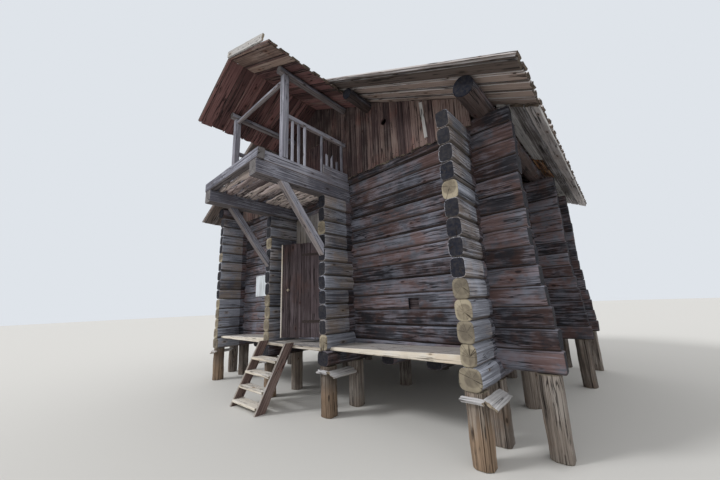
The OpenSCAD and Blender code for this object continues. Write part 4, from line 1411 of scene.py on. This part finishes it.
@dataclass
class Door(Assembly):
    """The outward door as it stands open: boards, bars and a wooden knob."""

    width: float = 1.05
    height: float = 1.79
    thickness: float = 0.04
    open_angle: float = 30.0
    hinge_in: float = 0.015
    bar_thickness: float = 0.028
    bar_height: float = 0.13
    bar_in: float = 0.09
    bar_gap: float = 0.0005
    knob_length: float = 0.055
    knob_radius: float = 0.024
    knob_in: float = 0.17
    knob_up: float = 0.88
    knob_out: float = 0.026
    # The first, narrow board is the pale strip at the free edge: painted sunlight.
    boards: tuple[float, ...] = (0.026, 0.164, 0.23, 0.2, 0.22, 0.21)
    board_gap: float = 0.003

    def __post_init__(self) -> None:
        """Finds the closed leaf's corner, its bars' heights and the turn that opens it."""
        hinge = self.frame.hinge
        self.bottom = bottom = self.frame.box("door_leaf").low.z
        self.left = hinge.x - self.hinge_in - self.width
        self.corner = Vector((self.left, hinge.y, bottom))
        self.bars = (bottom + self.bar_height * 1.5, bottom + self.height - self.bar_height * 1.5)
        self.swing = (Matrix.Translation(hinge) @ Matrix.Rotation(math.radians(self.open_angle), 4, "Z")
                      @ Matrix.Translation(-hinge))

    def build(self) -> None:
        """Builds leaf, bars and knob; the strip at the free edge is pale, painted sunlight."""
        f = self.finishes
        leaf = Timbers("door_boards", 190)
        sawing = Sawing(edge=0.005, bow=0.002, ragged=0.012, across=3, wander=0.002, twist=0.0)
        x = self.left
        for n, board in enumerate(self.boards):
            wide = board * self.width / sum(self.boards)
            centre = Vector((x + wide / 2, self.corner.y + self.thickness / 2, self.bottom + self.height / 2))
            leaf.board((self.height, wide - self.board_gap, self.thickness), sawing,
                       self.swing @ pointing(centre, UP, -BACK),
                       faces=(FLAT, END, FLAT) if n else (EDGE, EDGE, EDGE))
            x += wide
        leaf.finish(Slot.BROWN, (f.door, f.pale_end, f.pale), "door_leaf", body=Body.DOOR)
        bars = Timbers("door_bars_at_the_back", 191)
        for z in self.bars:
            centre = Vector((self.corner.x + self.width / 2,
                             self.corner.y + self.thickness + self.bar_thickness / 2 + self.bar_gap, z))
            bars.board((self.width - 2 * self.bar_in, self.bar_height, self.bar_thickness),
                       Sawing(bow=0.001, twist=0.0), self.swing @ pointing(centre, RIGHT, BACK))
        bars.finish(Slot.BROWN, (f.brown, f.pale_end), "door_bars", body=Body.DOOR)
        self._knob()

    def _knob(self) -> None:
        """A whittled knob near the free edge."""
        knob = Timbers("door_knob", 192)
        wide = 2 * self.knob_radius
        part = hewn((self.knob_length, wide, wide),
                    Hewing(squareness=2.0, bend=0.0, lump=0.002, chamfer=0.009, checks=0, sides=14, ring=0.02,
                           tilt=0.0), knob.rng)
        for vert in part.verts:
            neck = 0.55 + 0.45 * clamp((vert.co.x + 0.012) / 0.02)
            vert.co.y *= neck
            vert.co.z *= neck
        at = self.corner + Vector((self.knob_in, -self.knob_out, self.knob_up))
        knob.lay(part, self.swing @ pointing(at, -BACK, UP), tone=0.9, end=0.0)
        knob.finish(Slot.PALE, (self.finishes.pale, self.finishes.pale_end), body=Body.DOOR)


@dataclass
class Ladder(Assembly):
    """The ladder to the porch: two side boards that lean to the left, and level treads."""

    run: float = 0.4
    lean: float = 0.2
    board: float = 0.17
    thickness: float = 0.045
    rise: float = 0.04
    spare: float = 1.25

    def build(self) -> None:
        """Builds side boards and treads."""
        f = self.finishes
        piece = Timbers("ladder_side_boards", 200)
        box = self.frame.box("ladder_sides")
        low, high = box.low, box.high
        floor = high.z - self.rise
        slope = Vector((self.lean, self.run, floor))
        drop = self.board * math.hypot(self.run, floor) / floor
        ends = ((low, -UP), (high, UP), (high, BACK))
        for x in (low.x + self.thickness / 2,
                  high.x - self.thickness / 2 - self.lean * self.rise / floor - self.lean):
            foot = Vector((x, high.y - self.run - drop / 2, 0))
            piece.board((slope.length * self.spare, self.board, self.thickness),
                        Sawing(edge=0.005, bow=0.004, across=3, step=0.12, wander=0.004),
                        pointing(foot + slope / 2, slope, RIGHT), tone=0.8,
                        cuts=((Vector(), -UP), (UP * high.z, UP), (BACK * high.y, BACK)))
        # The side boards take dark brown flats as painted shade and paler grey edges as painted sunlight.
        piece.finish(Slot.PALE, (f.gable, f.pale_end, f.worn), "ladder_sides")
        treads = Timbers("ladder_tread_boards", 201)
        for box in self.frame.solids("ladder_treads"):
            treads.board((box.size.x - PLAY, box.size.y, box.size.z),
                         Sawing(edge=0.005, bow=0.004, across=3, wander=0.006, step=0.1, chew=0.008),
                         box.place(Along.X), tone=0.85)
        # The treads' pale finish is partly painted sunlight.
        treads.finish(Slot.PALE, (f.pale, f.pale_end), "ladder_treads")


@dataclass
class Balcony(Assembly):
    """Beams, deck, braces, posts and rail of the balcony."""

    brace: float = 0.12
    brace_drop: float = 1.0
    brace_spare: float = 0.6
    post_in: float = 0.5
    squared: Hewing = Hewing(squareness=9.0, bend=0.008, lump=0.005, chamfer=0.006, check_depth=0.016,
                             short=0.008, end_rings=0)
    pole: Hewing = Hewing(squareness=3.6, bend=0.03, lump=0.034, chamfer=0.008, checks=1, check_depth=0.012,
                          sides=16, ring=0.07, end_rings=0, thin=(0.62, 0.86))
    round_pole: Hewing = Hewing(squareness=2.0, bend=0.008, lump=0.005, chamfer=0.006, checks=1, sides=16,
                                check_depth=0.008, end_rings=0)

    def build(self) -> None:
        """Builds the balcony."""
        f = self.finishes
        grey = (f.grey, f.grey_end)
        for seed, name, node, way, hewing in (
                (210, "lower_beams", "balcony_beams", Along.Y, self.squared),
                (211, "balcony_post_timbers", "balcony_posts", Along.Z, self.squared),
                (212, "tie_pole", "balcony_tie", Along.X, self.round_pole),
                (213, "roof_plates", "balcony_plates", Along.Y, self.round_pole),
                (214, "rail_timbers", "balcony_rails", Along.Y, self.squared),
                (215, "deck_poles", "balcony_deck", Along.X, self.pole),
                (220, "upper_beams", "balcony_side_rails", None, self.squared)):
            piece = Timbers(name, seed)
            self.timbers(piece, node, hewing, way)
            deck = hewing is self.pole
            piece.finish(Slot.PALE if deck else Slot.GREY, (f.deck, f.pale_end) if deck else grey, node)
        self._balusters(grey)
        self._braces(grey)

    def _balusters(self, finish: Materials) -> None:
        """Sawn balusters, some broken off, and the boards on edge beside them.

        Args:
            finish: their materials.
        """
        piece = Timbers("baluster_bars", 221)
        boxes = self.frame.solids("balusters")
        whole = max(b.size.z for b in boxes)
        for box in boxes:
            broken = box.size.z < whole - 0.05
            height = box.size.z * (piece.rng.uniform(0.8, 1.0) if broken else 1.0)
            centre = Vector((box.centre.x, box.centre.y, box.low.z + height / 2))
            piece.board((height, box.size.x, box.size.y),
                        Sawing(bow=0.004, across=4, ragged=0.09 if broken else 0.0, step=0.12),
                        Matrix.Translation(centre) @ Along.Z.turn())
        piece.finish(Slot.GREY, finish, "balusters")
        boards = Timbers("boards_on_edge", 222)
        for box in self.frame.solids("toe_boards"):
            boards.board(box.size.yzx, Sawing(bow=0.003, ragged=0.02, across=4),
                         pointing(box.centre, BACK, RIGHT))
        boards.finish(Slot.GREY, finish, "toe_boards")

    def _braces(self, finish: Materials) -> None:
        """The two knee braces under the beams.

        Args:
            finish: their materials.
        """
        piece = Timbers("knee_braces", 223)
        for box in self.frame.solids("balcony_braces"):
            foot = Vector((box.centre.x, box.high.y, box.high.z - self.brace_drop))
            head = Vector((box.centre.x, self.frame.box("balcony_beams").low.y + self.post_in, box.high.z))
            piece.board(((head - foot).length + self.brace_spare, self.brace, self.brace),
                        Sawing(edge=0.010, bow=0.006, wander=0.006, across=3, step=0.15),
                        pointing((foot + head) / 2, head - foot, UP), tone=0.75 if box.centre.x > 0 else 0.3,
                        cuts=((BACK * box.high.y, BACK), (UP * box.high.z, UP)))
        piece.finish(Slot.GREY, finish, "balcony_braces")


@dataclass
class Roofs(Assembly):
    """Both roofs: two layers of boards that run down the slope, with the gables and purlins."""

    pitch: float = 26.5
    balcony_pitch: float = 25.0
    upper_step: float = 0.205
    upper_width: float = 0.15
    gap: tuple[float, float] = (0.008, 0.022)
    short: float = 0.03
    layer_gap: float = 0.0015
    tones: tuple[float, ...] = (0.0, 0.35, 0.6, 1.0)
    # Over this width from the front, the balcony roof's right slope takes the tan finish: painted sunlight.
    painted_sunlight_width: float = 0.4
    layer: float = 0.026
    plank_thickness: float = 0.04
    plank: float = 0.178
    plank_tones: tuple[float, ...] = (0.75, 0.1, 0.8)
    barge_pitch: float = 23.0
    barge_height: float = 0.13
    rot: tuple[float, float] = (0.35, 1.6)
    splinters: int = 60
    splinter_length: tuple[float, float] = (0.16, 0.8)
    splinter_width: tuple[float, float] = (0.006, 0.016)
    splinter_thickness: tuple[float, float] = (0.006, 0.018)
    purlin: Hewing = Hewing(squareness=2.0, lump=0.012, chamfer=0.016, checks=3, sides=24, end_shrink=0.04)
    gable_board: float = 0.14
    gable_gap: float = 0.005
    gable_drop: float = 0.03
    gable_under: float = 0.002
    gable_tone: float = 0.42
    gable_spread: float = 0.35
    gable_lighter: float = 0.22
    gable_lighter_from: float = 1.9
    door_gap: float = 0.003
    owl_hole: tuple[float, float, float] = (1.87, 4.91, 0.06)
    lath: tuple[float, float, float] = (2.66, 0.66, 0.055)

    def build(self) -> None:
        """Builds the roofs, gables and purlins."""
        f = self.finishes
        for seed, (name, node) in enumerate((("roof_boards_right", "roof_right"),
                                             ("roof_boards_left", "roof_left"),
                                             ("balcony_roof_boards_right", "balcony_roof_right"),
                                             ("balcony_roof_boards_left", "balcony_roof_left"))):
            self._slope(name, node, 230 + seed)
        for seed, name, node, way, hewing, end in (
                (240, "eave_logs", "eave_purlins", Along.Y, self.purlin, 1.0),
                (241, "purlin_logs", "middle_purlins", Along.Y, self.purlin, 1.0),
                (242, "ridge_log", "ridge_pole", Along.Y, self.purlin, 1.0),
                (245, "purlin_posts", "roof_posts", Along.Z, Balcony.squared, None),
                (246, "loft_joists", "upper_joists", Along.Y, Balcony.squared, None)):
            piece = Timbers(name, seed)
            self.timbers(piece, node, hewing, way, end)
            piece.finish(Slot.LOG, (f.log, f.log_end), node)
        self._eave_planks("right_eave_planks", "eave_planks_right", 1, 250)
        self._eave_planks("left_eave_planks", "eave_planks_left", -1, 251)
        self._barge_board()
        self._gable("front_gable_boards", "front_gable", -1, 260)
        self._gable("back_gable_boards", "back_gable", 1, 261)
        door = Timbers("upper_door_boards", 262)
        self.upright_boards(door, self.frame.box("upper_door"), 4, 0.003,
                            Sawing(bow=0.002, twist=0.0, ragged=0.004), tone=0.2)
        door.finish(Slot.BROWN, (f.brown, f.pale_end), "upper_door")

    def _slope(self, name: str, node: str, seed: int) -> None:
        """One slope: closed boards below, open boards over their seams.

        Args:
            name: the piece's name.
            node: the node it stands for.
            seed: fixes its random choices.
        """
        f = self.finishes
        piece = Timbers(name, seed)
        rng = piece.rng
        box = self.frame.box(node)
        s = 1 if box.centre.x > 0 else -1
        balcony = "balcony" in node
        pitch = math.radians(self.balcony_pitch if balcony else self.pitch)
        reach = max(abs(box.low.x), abs(box.high.x))
        down = Vector((s * math.cos(pitch), 0, -math.sin(pitch)))
        out = Vector((s * math.sin(pitch), 0, math.cos(pitch)))
        thick = (box.size.z - reach * math.tan(pitch)) * math.cos(pitch)
        plane = (UP * box.high.z - out * thick, down, out)
        slope = reach / math.cos(pitch)
        span = box.size.y - self.upper_width
        steps = round(span / self.upper_step)
        half = self.upper_width / 2
        uppers = [box.low.y + half + span * i / steps for i in range(steps + 1)]
        seams = [box.low.y, *uppers[1:-1], box.high.y]
        under = thick - self.layer
        for a, b in zip(seams, seams[1:]):
            split = a + half * rng.uniform(0.55, 0.85)
            for low, high in ((a, split), (split, b)):
                lift = rng.uniform(0.0, under * 0.45)
                gap = rng.uniform(*self.gap)
                # Front boards of the balcony roof's right slope take the tan finish as painted sunlight.
                tan = node == "balcony_roof_right" and low < box.low.y + self.painted_sunlight_width
                size = (slope - rng.uniform(0.0, self.short), high - low - gap, under - lift - self.layer_gap)
                tone = rng.choice(self.tones) + rng.uniform(-0.08, 0.08)
                self._roof_board(piece, plane, (low + high) / 2, size, lift, tone, OTHER if tan else FLAT)
        for y in uppers:
            wide = self.upper_width * (1.0 if y in (uppers[0], uppers[-1]) else rng.uniform(0.92, 1.06))
            length = slope - rng.uniform(0.0, 0.022)
            self._roof_board(piece, plane, y, (length, wide, self.layer), under, rng.uniform(0.2, 1.0))
        # The main roof's board edges take the pale knotty plank finish as painted sunlight; the fourth finish
        # is the tan painted sunlight.
        finish = (f.brown, f.dark_end, f.gable, f.fresh) if balcony else (f.roof, f.dark_end, f.eave, f.fresh)
        piece.finish(Slot.BROWN if balcony else Slot.GREY, finish, node)

    def _roof_board(self, piece: Timbers, plane: tuple[Vector, Vector, Vector], y: float, size: Size,
                    lift: float, tone: float, flats: int = FLAT) -> None:
        """One roof board from the ridge to the eave.

        Args:
            piece: the slope it belongs to.
            plane: the underside's highest point, the way down the slope and the way out of it.
            y: the board's middle.
            size: how far down it reaches, its width and its thickness.
            lift: how far its underside lies above the slope's.
            tone: how light it is.
            flats: the number of its flats' finish.
        """
        ridge, down, out = plane
        slope, wide, thick = size
        # The underside starts in the building's middle, where the two slopes meet.
        start = (ridge.x / -out.x - lift) * -down.z / abs(down.x)
        length = slope - start - PLAY
        middle = ridge + BACK * y + down * (start + PLAY + length / 2) + out * (lift + thick / 2)
        sawing = Sawing(bow=0.003, wander=0.007, ragged=0.02, across=1, step=0.25, twist=0.002)
        piece.board((length, wide, thick), sawing, pointing(middle, down, out), tone,
                    faces=(flats, END, EDGE))

    def _eave_planks(self, name: str, node: str, s: int, seed: int) -> None:
        """The long planks under an eave; the inner one on the right is rotted through.

        Args:
            name: the piece's name.
            node: the node it stands for.
            s: 1 on the right, -1 on the left.
            seed: fixes its random choices.
        """
        f = self.finishes
        piece = Timbers(name, seed)
        pitch = math.radians(self.pitch)
        out = Vector((s * math.sin(pitch), 0, math.cos(pitch)))
        sawing = Sawing(edge=0.007, bow=0.003, wander=0.008, ragged=0.04, across=4, step=0.2, twist=0.004,
                        chew=0.009)
        boxes = sorted(self.frame.solids(node), key=lambda b: -abs(b.centre.x))
        for box, tone in zip(boxes, self.plank_tones):
            inner = box is boxes[-1]
            rotted = inner and s > 0
            ends = (box.low.y, *(self.rot if rotted else ()), box.high.y)
            for a, b in zip(ends[::2], ends[1::2]):
                middle = Vector((box.centre.x, (a + b) / 2, box.centre.z))
                piece.board((b - a, self.plank, self.plank_thickness), sawing,
                            pointing(middle, BACK, out), tone,
                            faces=(EDGE, EDGE, EDGE) if inner else (FLAT, END, EDGE))
            if rotted:
                self._splinters(piece, box, out)
        # Their pale finishes are partly painted light that reaches the eave from below.
        piece.finish(Slot.GREY, (f.eave, f.dark_end, f.bleached_and_sunlit, f.rotten), node)

    def _splinters(self, piece: Timbers, box: Box, out: Vector) -> None:
        """What rot has left of a plank: slivers of brown wood along its grain.

        Args:
            piece: the planks.
            box: the plank's solid.
            out: the way out of the roof.
        """
        a, b = self.rot
        rng = piece.rng
        row = self.splinters // 2
        sawing = Sawing(edge=0.002, bow=0.012, wander=0.01, ragged=0.03, step=0.05, across=0, twist=0.02)
        for n in range(self.splinters):
            length = rng.uniform(*self.splinter_length)
            y = rng.uniform(a - 0.06 + length / 2, b + 0.06 - length / 2)
            off = (n % row / (row - 1) - 0.5) * (self.plank - 0.012)
            middle = Vector((box.centre.x, y, box.centre.z)) + BACK.cross(out) * off
            middle += out * rng.uniform(-0.02, 0.012)
            size = (length, rng.uniform(*self.splinter_width), rng.uniform(*self.splinter_thickness))
            part = sawn(size, sawing, rng, (OTHER, OTHER, OTHER))
            turn = Matrix.Rotation(rng.uniform(-0.06, 0.06), 4, out)
            piece.lay(part, Matrix.Translation(middle) @ turn @ pointing(Vector(), BACK, out))

    def _barge_board(self) -> None:
        """The board on the front edge of the balcony roof's right slope."""
        piece = Timbers("front_edge_board", 252)
        box = self.frame.box("balcony_barge_board")
        pitch = math.radians(self.barge_pitch)
        down = Vector((math.cos(pitch), 0, -math.sin(pitch)))
        # Its near white finish is partly painted sunlight.
        piece.board((box.size.x / math.cos(pitch) - 0.01, self.barge_height * math.cos(pitch), box.size.y),
                    Sawing(bow=0.002, wander=0.006, ragged=0.02, across=4, step=0.1, twist=0.0, chew=0.012),
                    pointing(box.centre, down, -BACK), tone=0.9, cuts=((RIGHT * box.low.x, -RIGHT),))
        piece.finish(Slot.GREY, (self.finishes.bleached_and_sunlit, self.finishes.pale_end), "balcony_barge_board")

    def gable_layout(self, node: str) -> list[Size]:
        """Where a gable's boards stand: beside the upper door and above it, if it has one.

        Args:
            node: the gable's node.

        Returns:
            Middle, width and lower end of each board.
        """
        box = self.frame.box(node)
        door = self.frame.box("upper_door")
        zones = [(box.low.x, box.high.x, box.low.z)]
        if node == "front_gable":
            low, high = door.low.x - self.door_gap, door.high.x + self.door_gap
            zones = [(box.low.x, low, box.low.z), (low, high, door.high.z + 2 * self.door_gap),
                     (high, box.high.x, box.low.z)]
        boards = []
        for start, end, bottom in zones:
            count = round((end - start) / self.gable_board)
            step = (end - start) / count
            boards += [(start + step * (i + 0.5), step, bottom) for i in range(count)]
        return boards

    def _gable(self, name: str, node: str, facing: int, seed: int) -> None:
        """Upright boards under the roof, cut to its slope.

        Args:
            name: the piece's name.
            node: the node it stands for.
            facing: -1 in front, 1 at the back.
            seed: fixes its random choices.
        """
        f = self.finishes
        piece = Timbers(name, seed)
        box = self.frame.box(node)
        roof = self.frame.box("roof_right")
        pitch = math.radians(self.pitch)
        ridge = roof.low.z + roof.size.x * math.tan(pitch)
        hole, hole_z, radius = self.owl_hole
        sawing = Sawing(edge=0.003, bow=0.003, wander=0.005, ragged=0.03, across=3, chew=0.004, step=0.2)
        for x, step, bottom in self.gable_layout(node):
            hangs = facing < 0 and bottom == box.low.z
            bottom -= piece.rng.uniform(0.0, self.gable_drop) if hangs else 0.0
            top = ridge - max(0.0, abs(x) - step / 2) * math.tan(pitch)
            part = sawn((top - bottom, step - self.gable_gap, box.size.y), sawing, piece.rng)
            place = pointing(Vector((x, box.centre.y, (top + bottom) / 2)), UP, BACK * facing)
            bmesh.ops.transform(part, matrix=place, verts=part.verts)
            for s in (-1, 1):
                slope = Vector((s * math.sin(pitch), 0, math.cos(pitch)))
                cut_off(part, UP * (ridge - self.gable_under), slope)
            if facing < 0 and abs(x - hole) < step / 2 + radius:
                part = bore(part, Vector((hole, box.centre.y, hole_z)), radius)
            tone = self.gable_tone + (abs(x) - self.gable_lighter_from) * self.gable_lighter
            piece.lay(part, tone=clamp(tone + piece.rng.uniform(-self.gable_spread, self.gable_spread)))
        if facing < 0:
            x, height, width = self.lath
            top = ridge - x * math.tan(pitch) - box.size.y
            at = Vector((x, box.low.y - 0.005, top - height / 2))
            piece.board((height, width, 0.014), Sawing(ragged=0.02, across=2, step=0.1),
                        pointing(at, Vector((-0.07, 0, 1)), -BACK), 0.8, faces=(OTHER, OTHER, OTHER))
        piece.finish(Slot.BROWN, (f.gable, f.pale_end, f.gable, f.bleached_and_sunlit), node)


@dataclass
class Fasteners(Assembly):
    """Forged nails with flat heads, where boards are nailed."""

    radius: float = 0.009
    proud: float = 0.004
    from_edge: float = 0.03
    pair: float = 0.04
    gable_rows: tuple[float, ...] = (0.07, 0.55, 1.1)
    gable_clear: tuple[float, float] = (0.05, 0.12)
    gable_stray: tuple[float, float] = (0.01, 0.015)
    barge_nails: tuple[float, ...] = (0.06, 0.35, 0.65, 0.94)
    door_nails: int = 10
    low_bar_nails: int = 4

    def build(self) -> None:
        """Drives the nails of the building and those of the door."""
        fixed = Timbers("nail_heads", 270)
        notice, edge = self.frame.box("notice_board"), self.from_edge
        for x in (notice.low.x + edge, notice.high.x - edge):
            for z in (notice.low.z + edge, notice.high.z - edge):
                self._nail(fixed, Vector((x, notice.low.y, z)), -BACK)
        self._gable_nails(fixed)
        barge = self.frame.box("balcony_barge_board")
        for t in self.barge_nails:
            run = barge.size.x * t
            z = barge.high.z - Roofs.barge_height / 2 - run * math.tan(math.radians(Roofs.barge_pitch))
            self._nail(fixed, Vector((barge.low.x + run, barge.low.y, z)), -BACK)
        for box in self.frame.solids("ladder_treads"):
            for x in (box.low.x + edge, box.high.x - edge):
                self._nail(fixed, Vector((x, box.centre.y, box.high.z)), UP)
        iron = (self.finishes.iron, self.finishes.iron)
        fixed.finish(Slot.IRON, iron)
        door = Door(self.frame, self.finishes)
        piece = Timbers("door_nail_heads", 271)
        first, last = door.bar_in + edge, door.width - door.bar_in - edge
        for z in door.bars:
            for n in range(self.door_nails):
                x = door.corner.x + first + (last - first) * n / (self.door_nails - 1)
                at = Vector((x, door.corner.y, z + piece.rng.uniform(-edge, edge)))
                if n < self.low_bar_nails or z > door.bars[0]:
                    self._nail(piece, door.swing @ at, door.swing.to_3x3() @ -BACK)
        piece.finish(Slot.IRON, iron, body=Body.DOOR)

    def _gable_nails(self, fixed: Timbers) -> None:
        """Rows of nails in pairs through the front gable's boards.

        Args:
            fixed: the building's nails.
        """
        gable, roof = self.frame.box("front_gable"), self.frame.box("roof_right")
        below, above = self.gable_clear
        stray_x, stray_z = self.gable_stray
        for x, _, bottom in Roofs(self.frame, self.finishes).gable_layout("front_gable"):
            under = roof.low.z + (roof.high.x - abs(x)) * math.tan(math.radians(Roofs.pitch))
            for z in (gable.low.z + row for row in self.gable_rows):
                for side in (-self.pair, self.pair) if bottom + below < z < under - above else ():
                    at = Vector((x + side + fixed.rng.uniform(-stray_x, stray_x), gable.low.y,
                                 z + fixed.rng.uniform(-stray_z, stray_z)))
                    self._nail(fixed, at, -BACK)

    def _nail(self, piece: Timbers, at: Vector, out: Vector) -> None:
        """One flat round head.

        Args:
            piece: the nails it belongs to.
            at: a point of the board's face.
            out: the way the face looks.
        """
        part = bmesh.new()
        part.loops.layers.uv.new("grain")
        bmesh.ops.create_uvsphere(part, u_segments=8, v_segments=5, radius=self.radius)
        bmesh.ops.scale(part, vec=(1, 1, self.proud / self.radius), verts=part.verts)
        piece.lay(part, pointing(at, UP if abs(out.z) < 0.5 else RIGHT, out))


@dataclass
class Studio:
    """A pale floor, soft light, and the camera of the photograph."""

    place: Size = (4.63, -5.95, 1.7)
    yaw: float = 41.636
    pitch: float = 12.254
    roll: float = -2.248
    lens: float = 14.56
    floor: str = "#c9c8c5"
    floor_radius: float = 90.0
    backdrop: str = "#dfe4ea"
    sky_strength: float = 0.92
    sun_strength: float = 1.6
    sun_spread: float = 14.0
    sun_turn: Size = (50.0, 0.0, -38.0)

    def build(self) -> None:
        """Sets up floor, light and camera."""
        self._floor()
        self._light()
        self._camera()

    def _floor(self) -> None:
        """A wide pale disc."""
        mesh = bmesh.new()
        bmesh.ops.create_circle(mesh, cap_ends=True, segments=64, radius=self.floor_radius)
        floor = add_object("studio_floor", mesh)
        n = Nodes(bpy.data.materials.new("studio_floor_matt"))
        n.feed(n.tree.nodes["Principled BSDF"],
               {"Base Color": linear(self.floor), "Roughness": 0.95, "Specular IOR Level": 0.1})
        floor.data.materials.append(n.owner)

    def _light(self) -> None:
        """An even sky and one soft sun."""
        scene = bpy.context.scene
        scene.world = bpy.data.worlds.new("studio_sky")
        n = Nodes(scene.world)
        light = n.tree.nodes["Background"]
        n.feed(light, {"Color": (1.0, 1.0, 1.0, 1.0), "Strength": self.sky_strength})
        shown = n.add(Kind.SKY, {"Color": linear(self.backdrop), "Strength": 1.0})
        rays = n.add(Kind.RAYS).node.outputs
        seen = n.add(Kind.MATH, (rays["Is Camera Ray"], rays["Is Glossy Ray"]), operation="MAXIMUM")
        n.feed(n.tree.nodes["World Output"],
               {"Surface": n.add(Kind.MIX_SHADER, (seen, light.outputs[0], shown))})
        lamp = bpy.data.lights.new("soft_sun", "SUN")
        lamp.energy = self.sun_strength
        lamp.angle = math.radians(self.sun_spread)
        sun = bpy.data.objects.new("soft_sun", lamp)
        sun.rotation_euler = [math.radians(angle) for angle in self.sun_turn]
        scene.collection.objects.link(sun)

    def _camera(self) -> None:
        """The camera, where the vanishing points of the photograph put it."""
        data = bpy.data.cameras.new("camera")
        data.lens = self.lens
        data.sensor_width = 36.0
        camera = bpy.data.objects.new("camera", data)
        camera.matrix_world = (Matrix.Translation(self.place)
                               @ Matrix.Rotation(math.radians(self.yaw), 4, "Z")
                               @ Matrix.Rotation(math.radians(90 + self.pitch), 4, "X")
                               @ Matrix.Rotation(math.radians(self.roll), 4, "Z"))
        bpy.context.scene.collection.objects.link(camera)
        bpy.context.scene.camera = camera


def dress_kept_nodes(frame: Frame, finishes: Finishes) -> None:
    """Gives the nodes that stay as they are their finish.

    Args:
        frame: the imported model.
        finishes: the part's finishes.
    """
    for name in ("door_straps", "door_pintles"):
        data = frame.nodes[name].data
        data.materials.clear()
        data.materials.append(finishes.iron)


def main() -> None:
    """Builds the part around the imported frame."""
    logging.basicConfig(level=logging.INFO, format="%(name)s %(message)s")
    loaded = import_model()
    frame = Frame(loaded)
    finishes = Finishes()
    for assembly in (LogWalls, Footing, Planks, Porch, Door, Ladder, Balcony, Roofs, Fasteners):
        assembly(frame, finishes).build()
    dress_kept_nodes(frame, finishes)
    Studio().build()
    bpy.context.scene.view_settings.view_transform = "Standard"


if __name__ == "__main__":
    main()
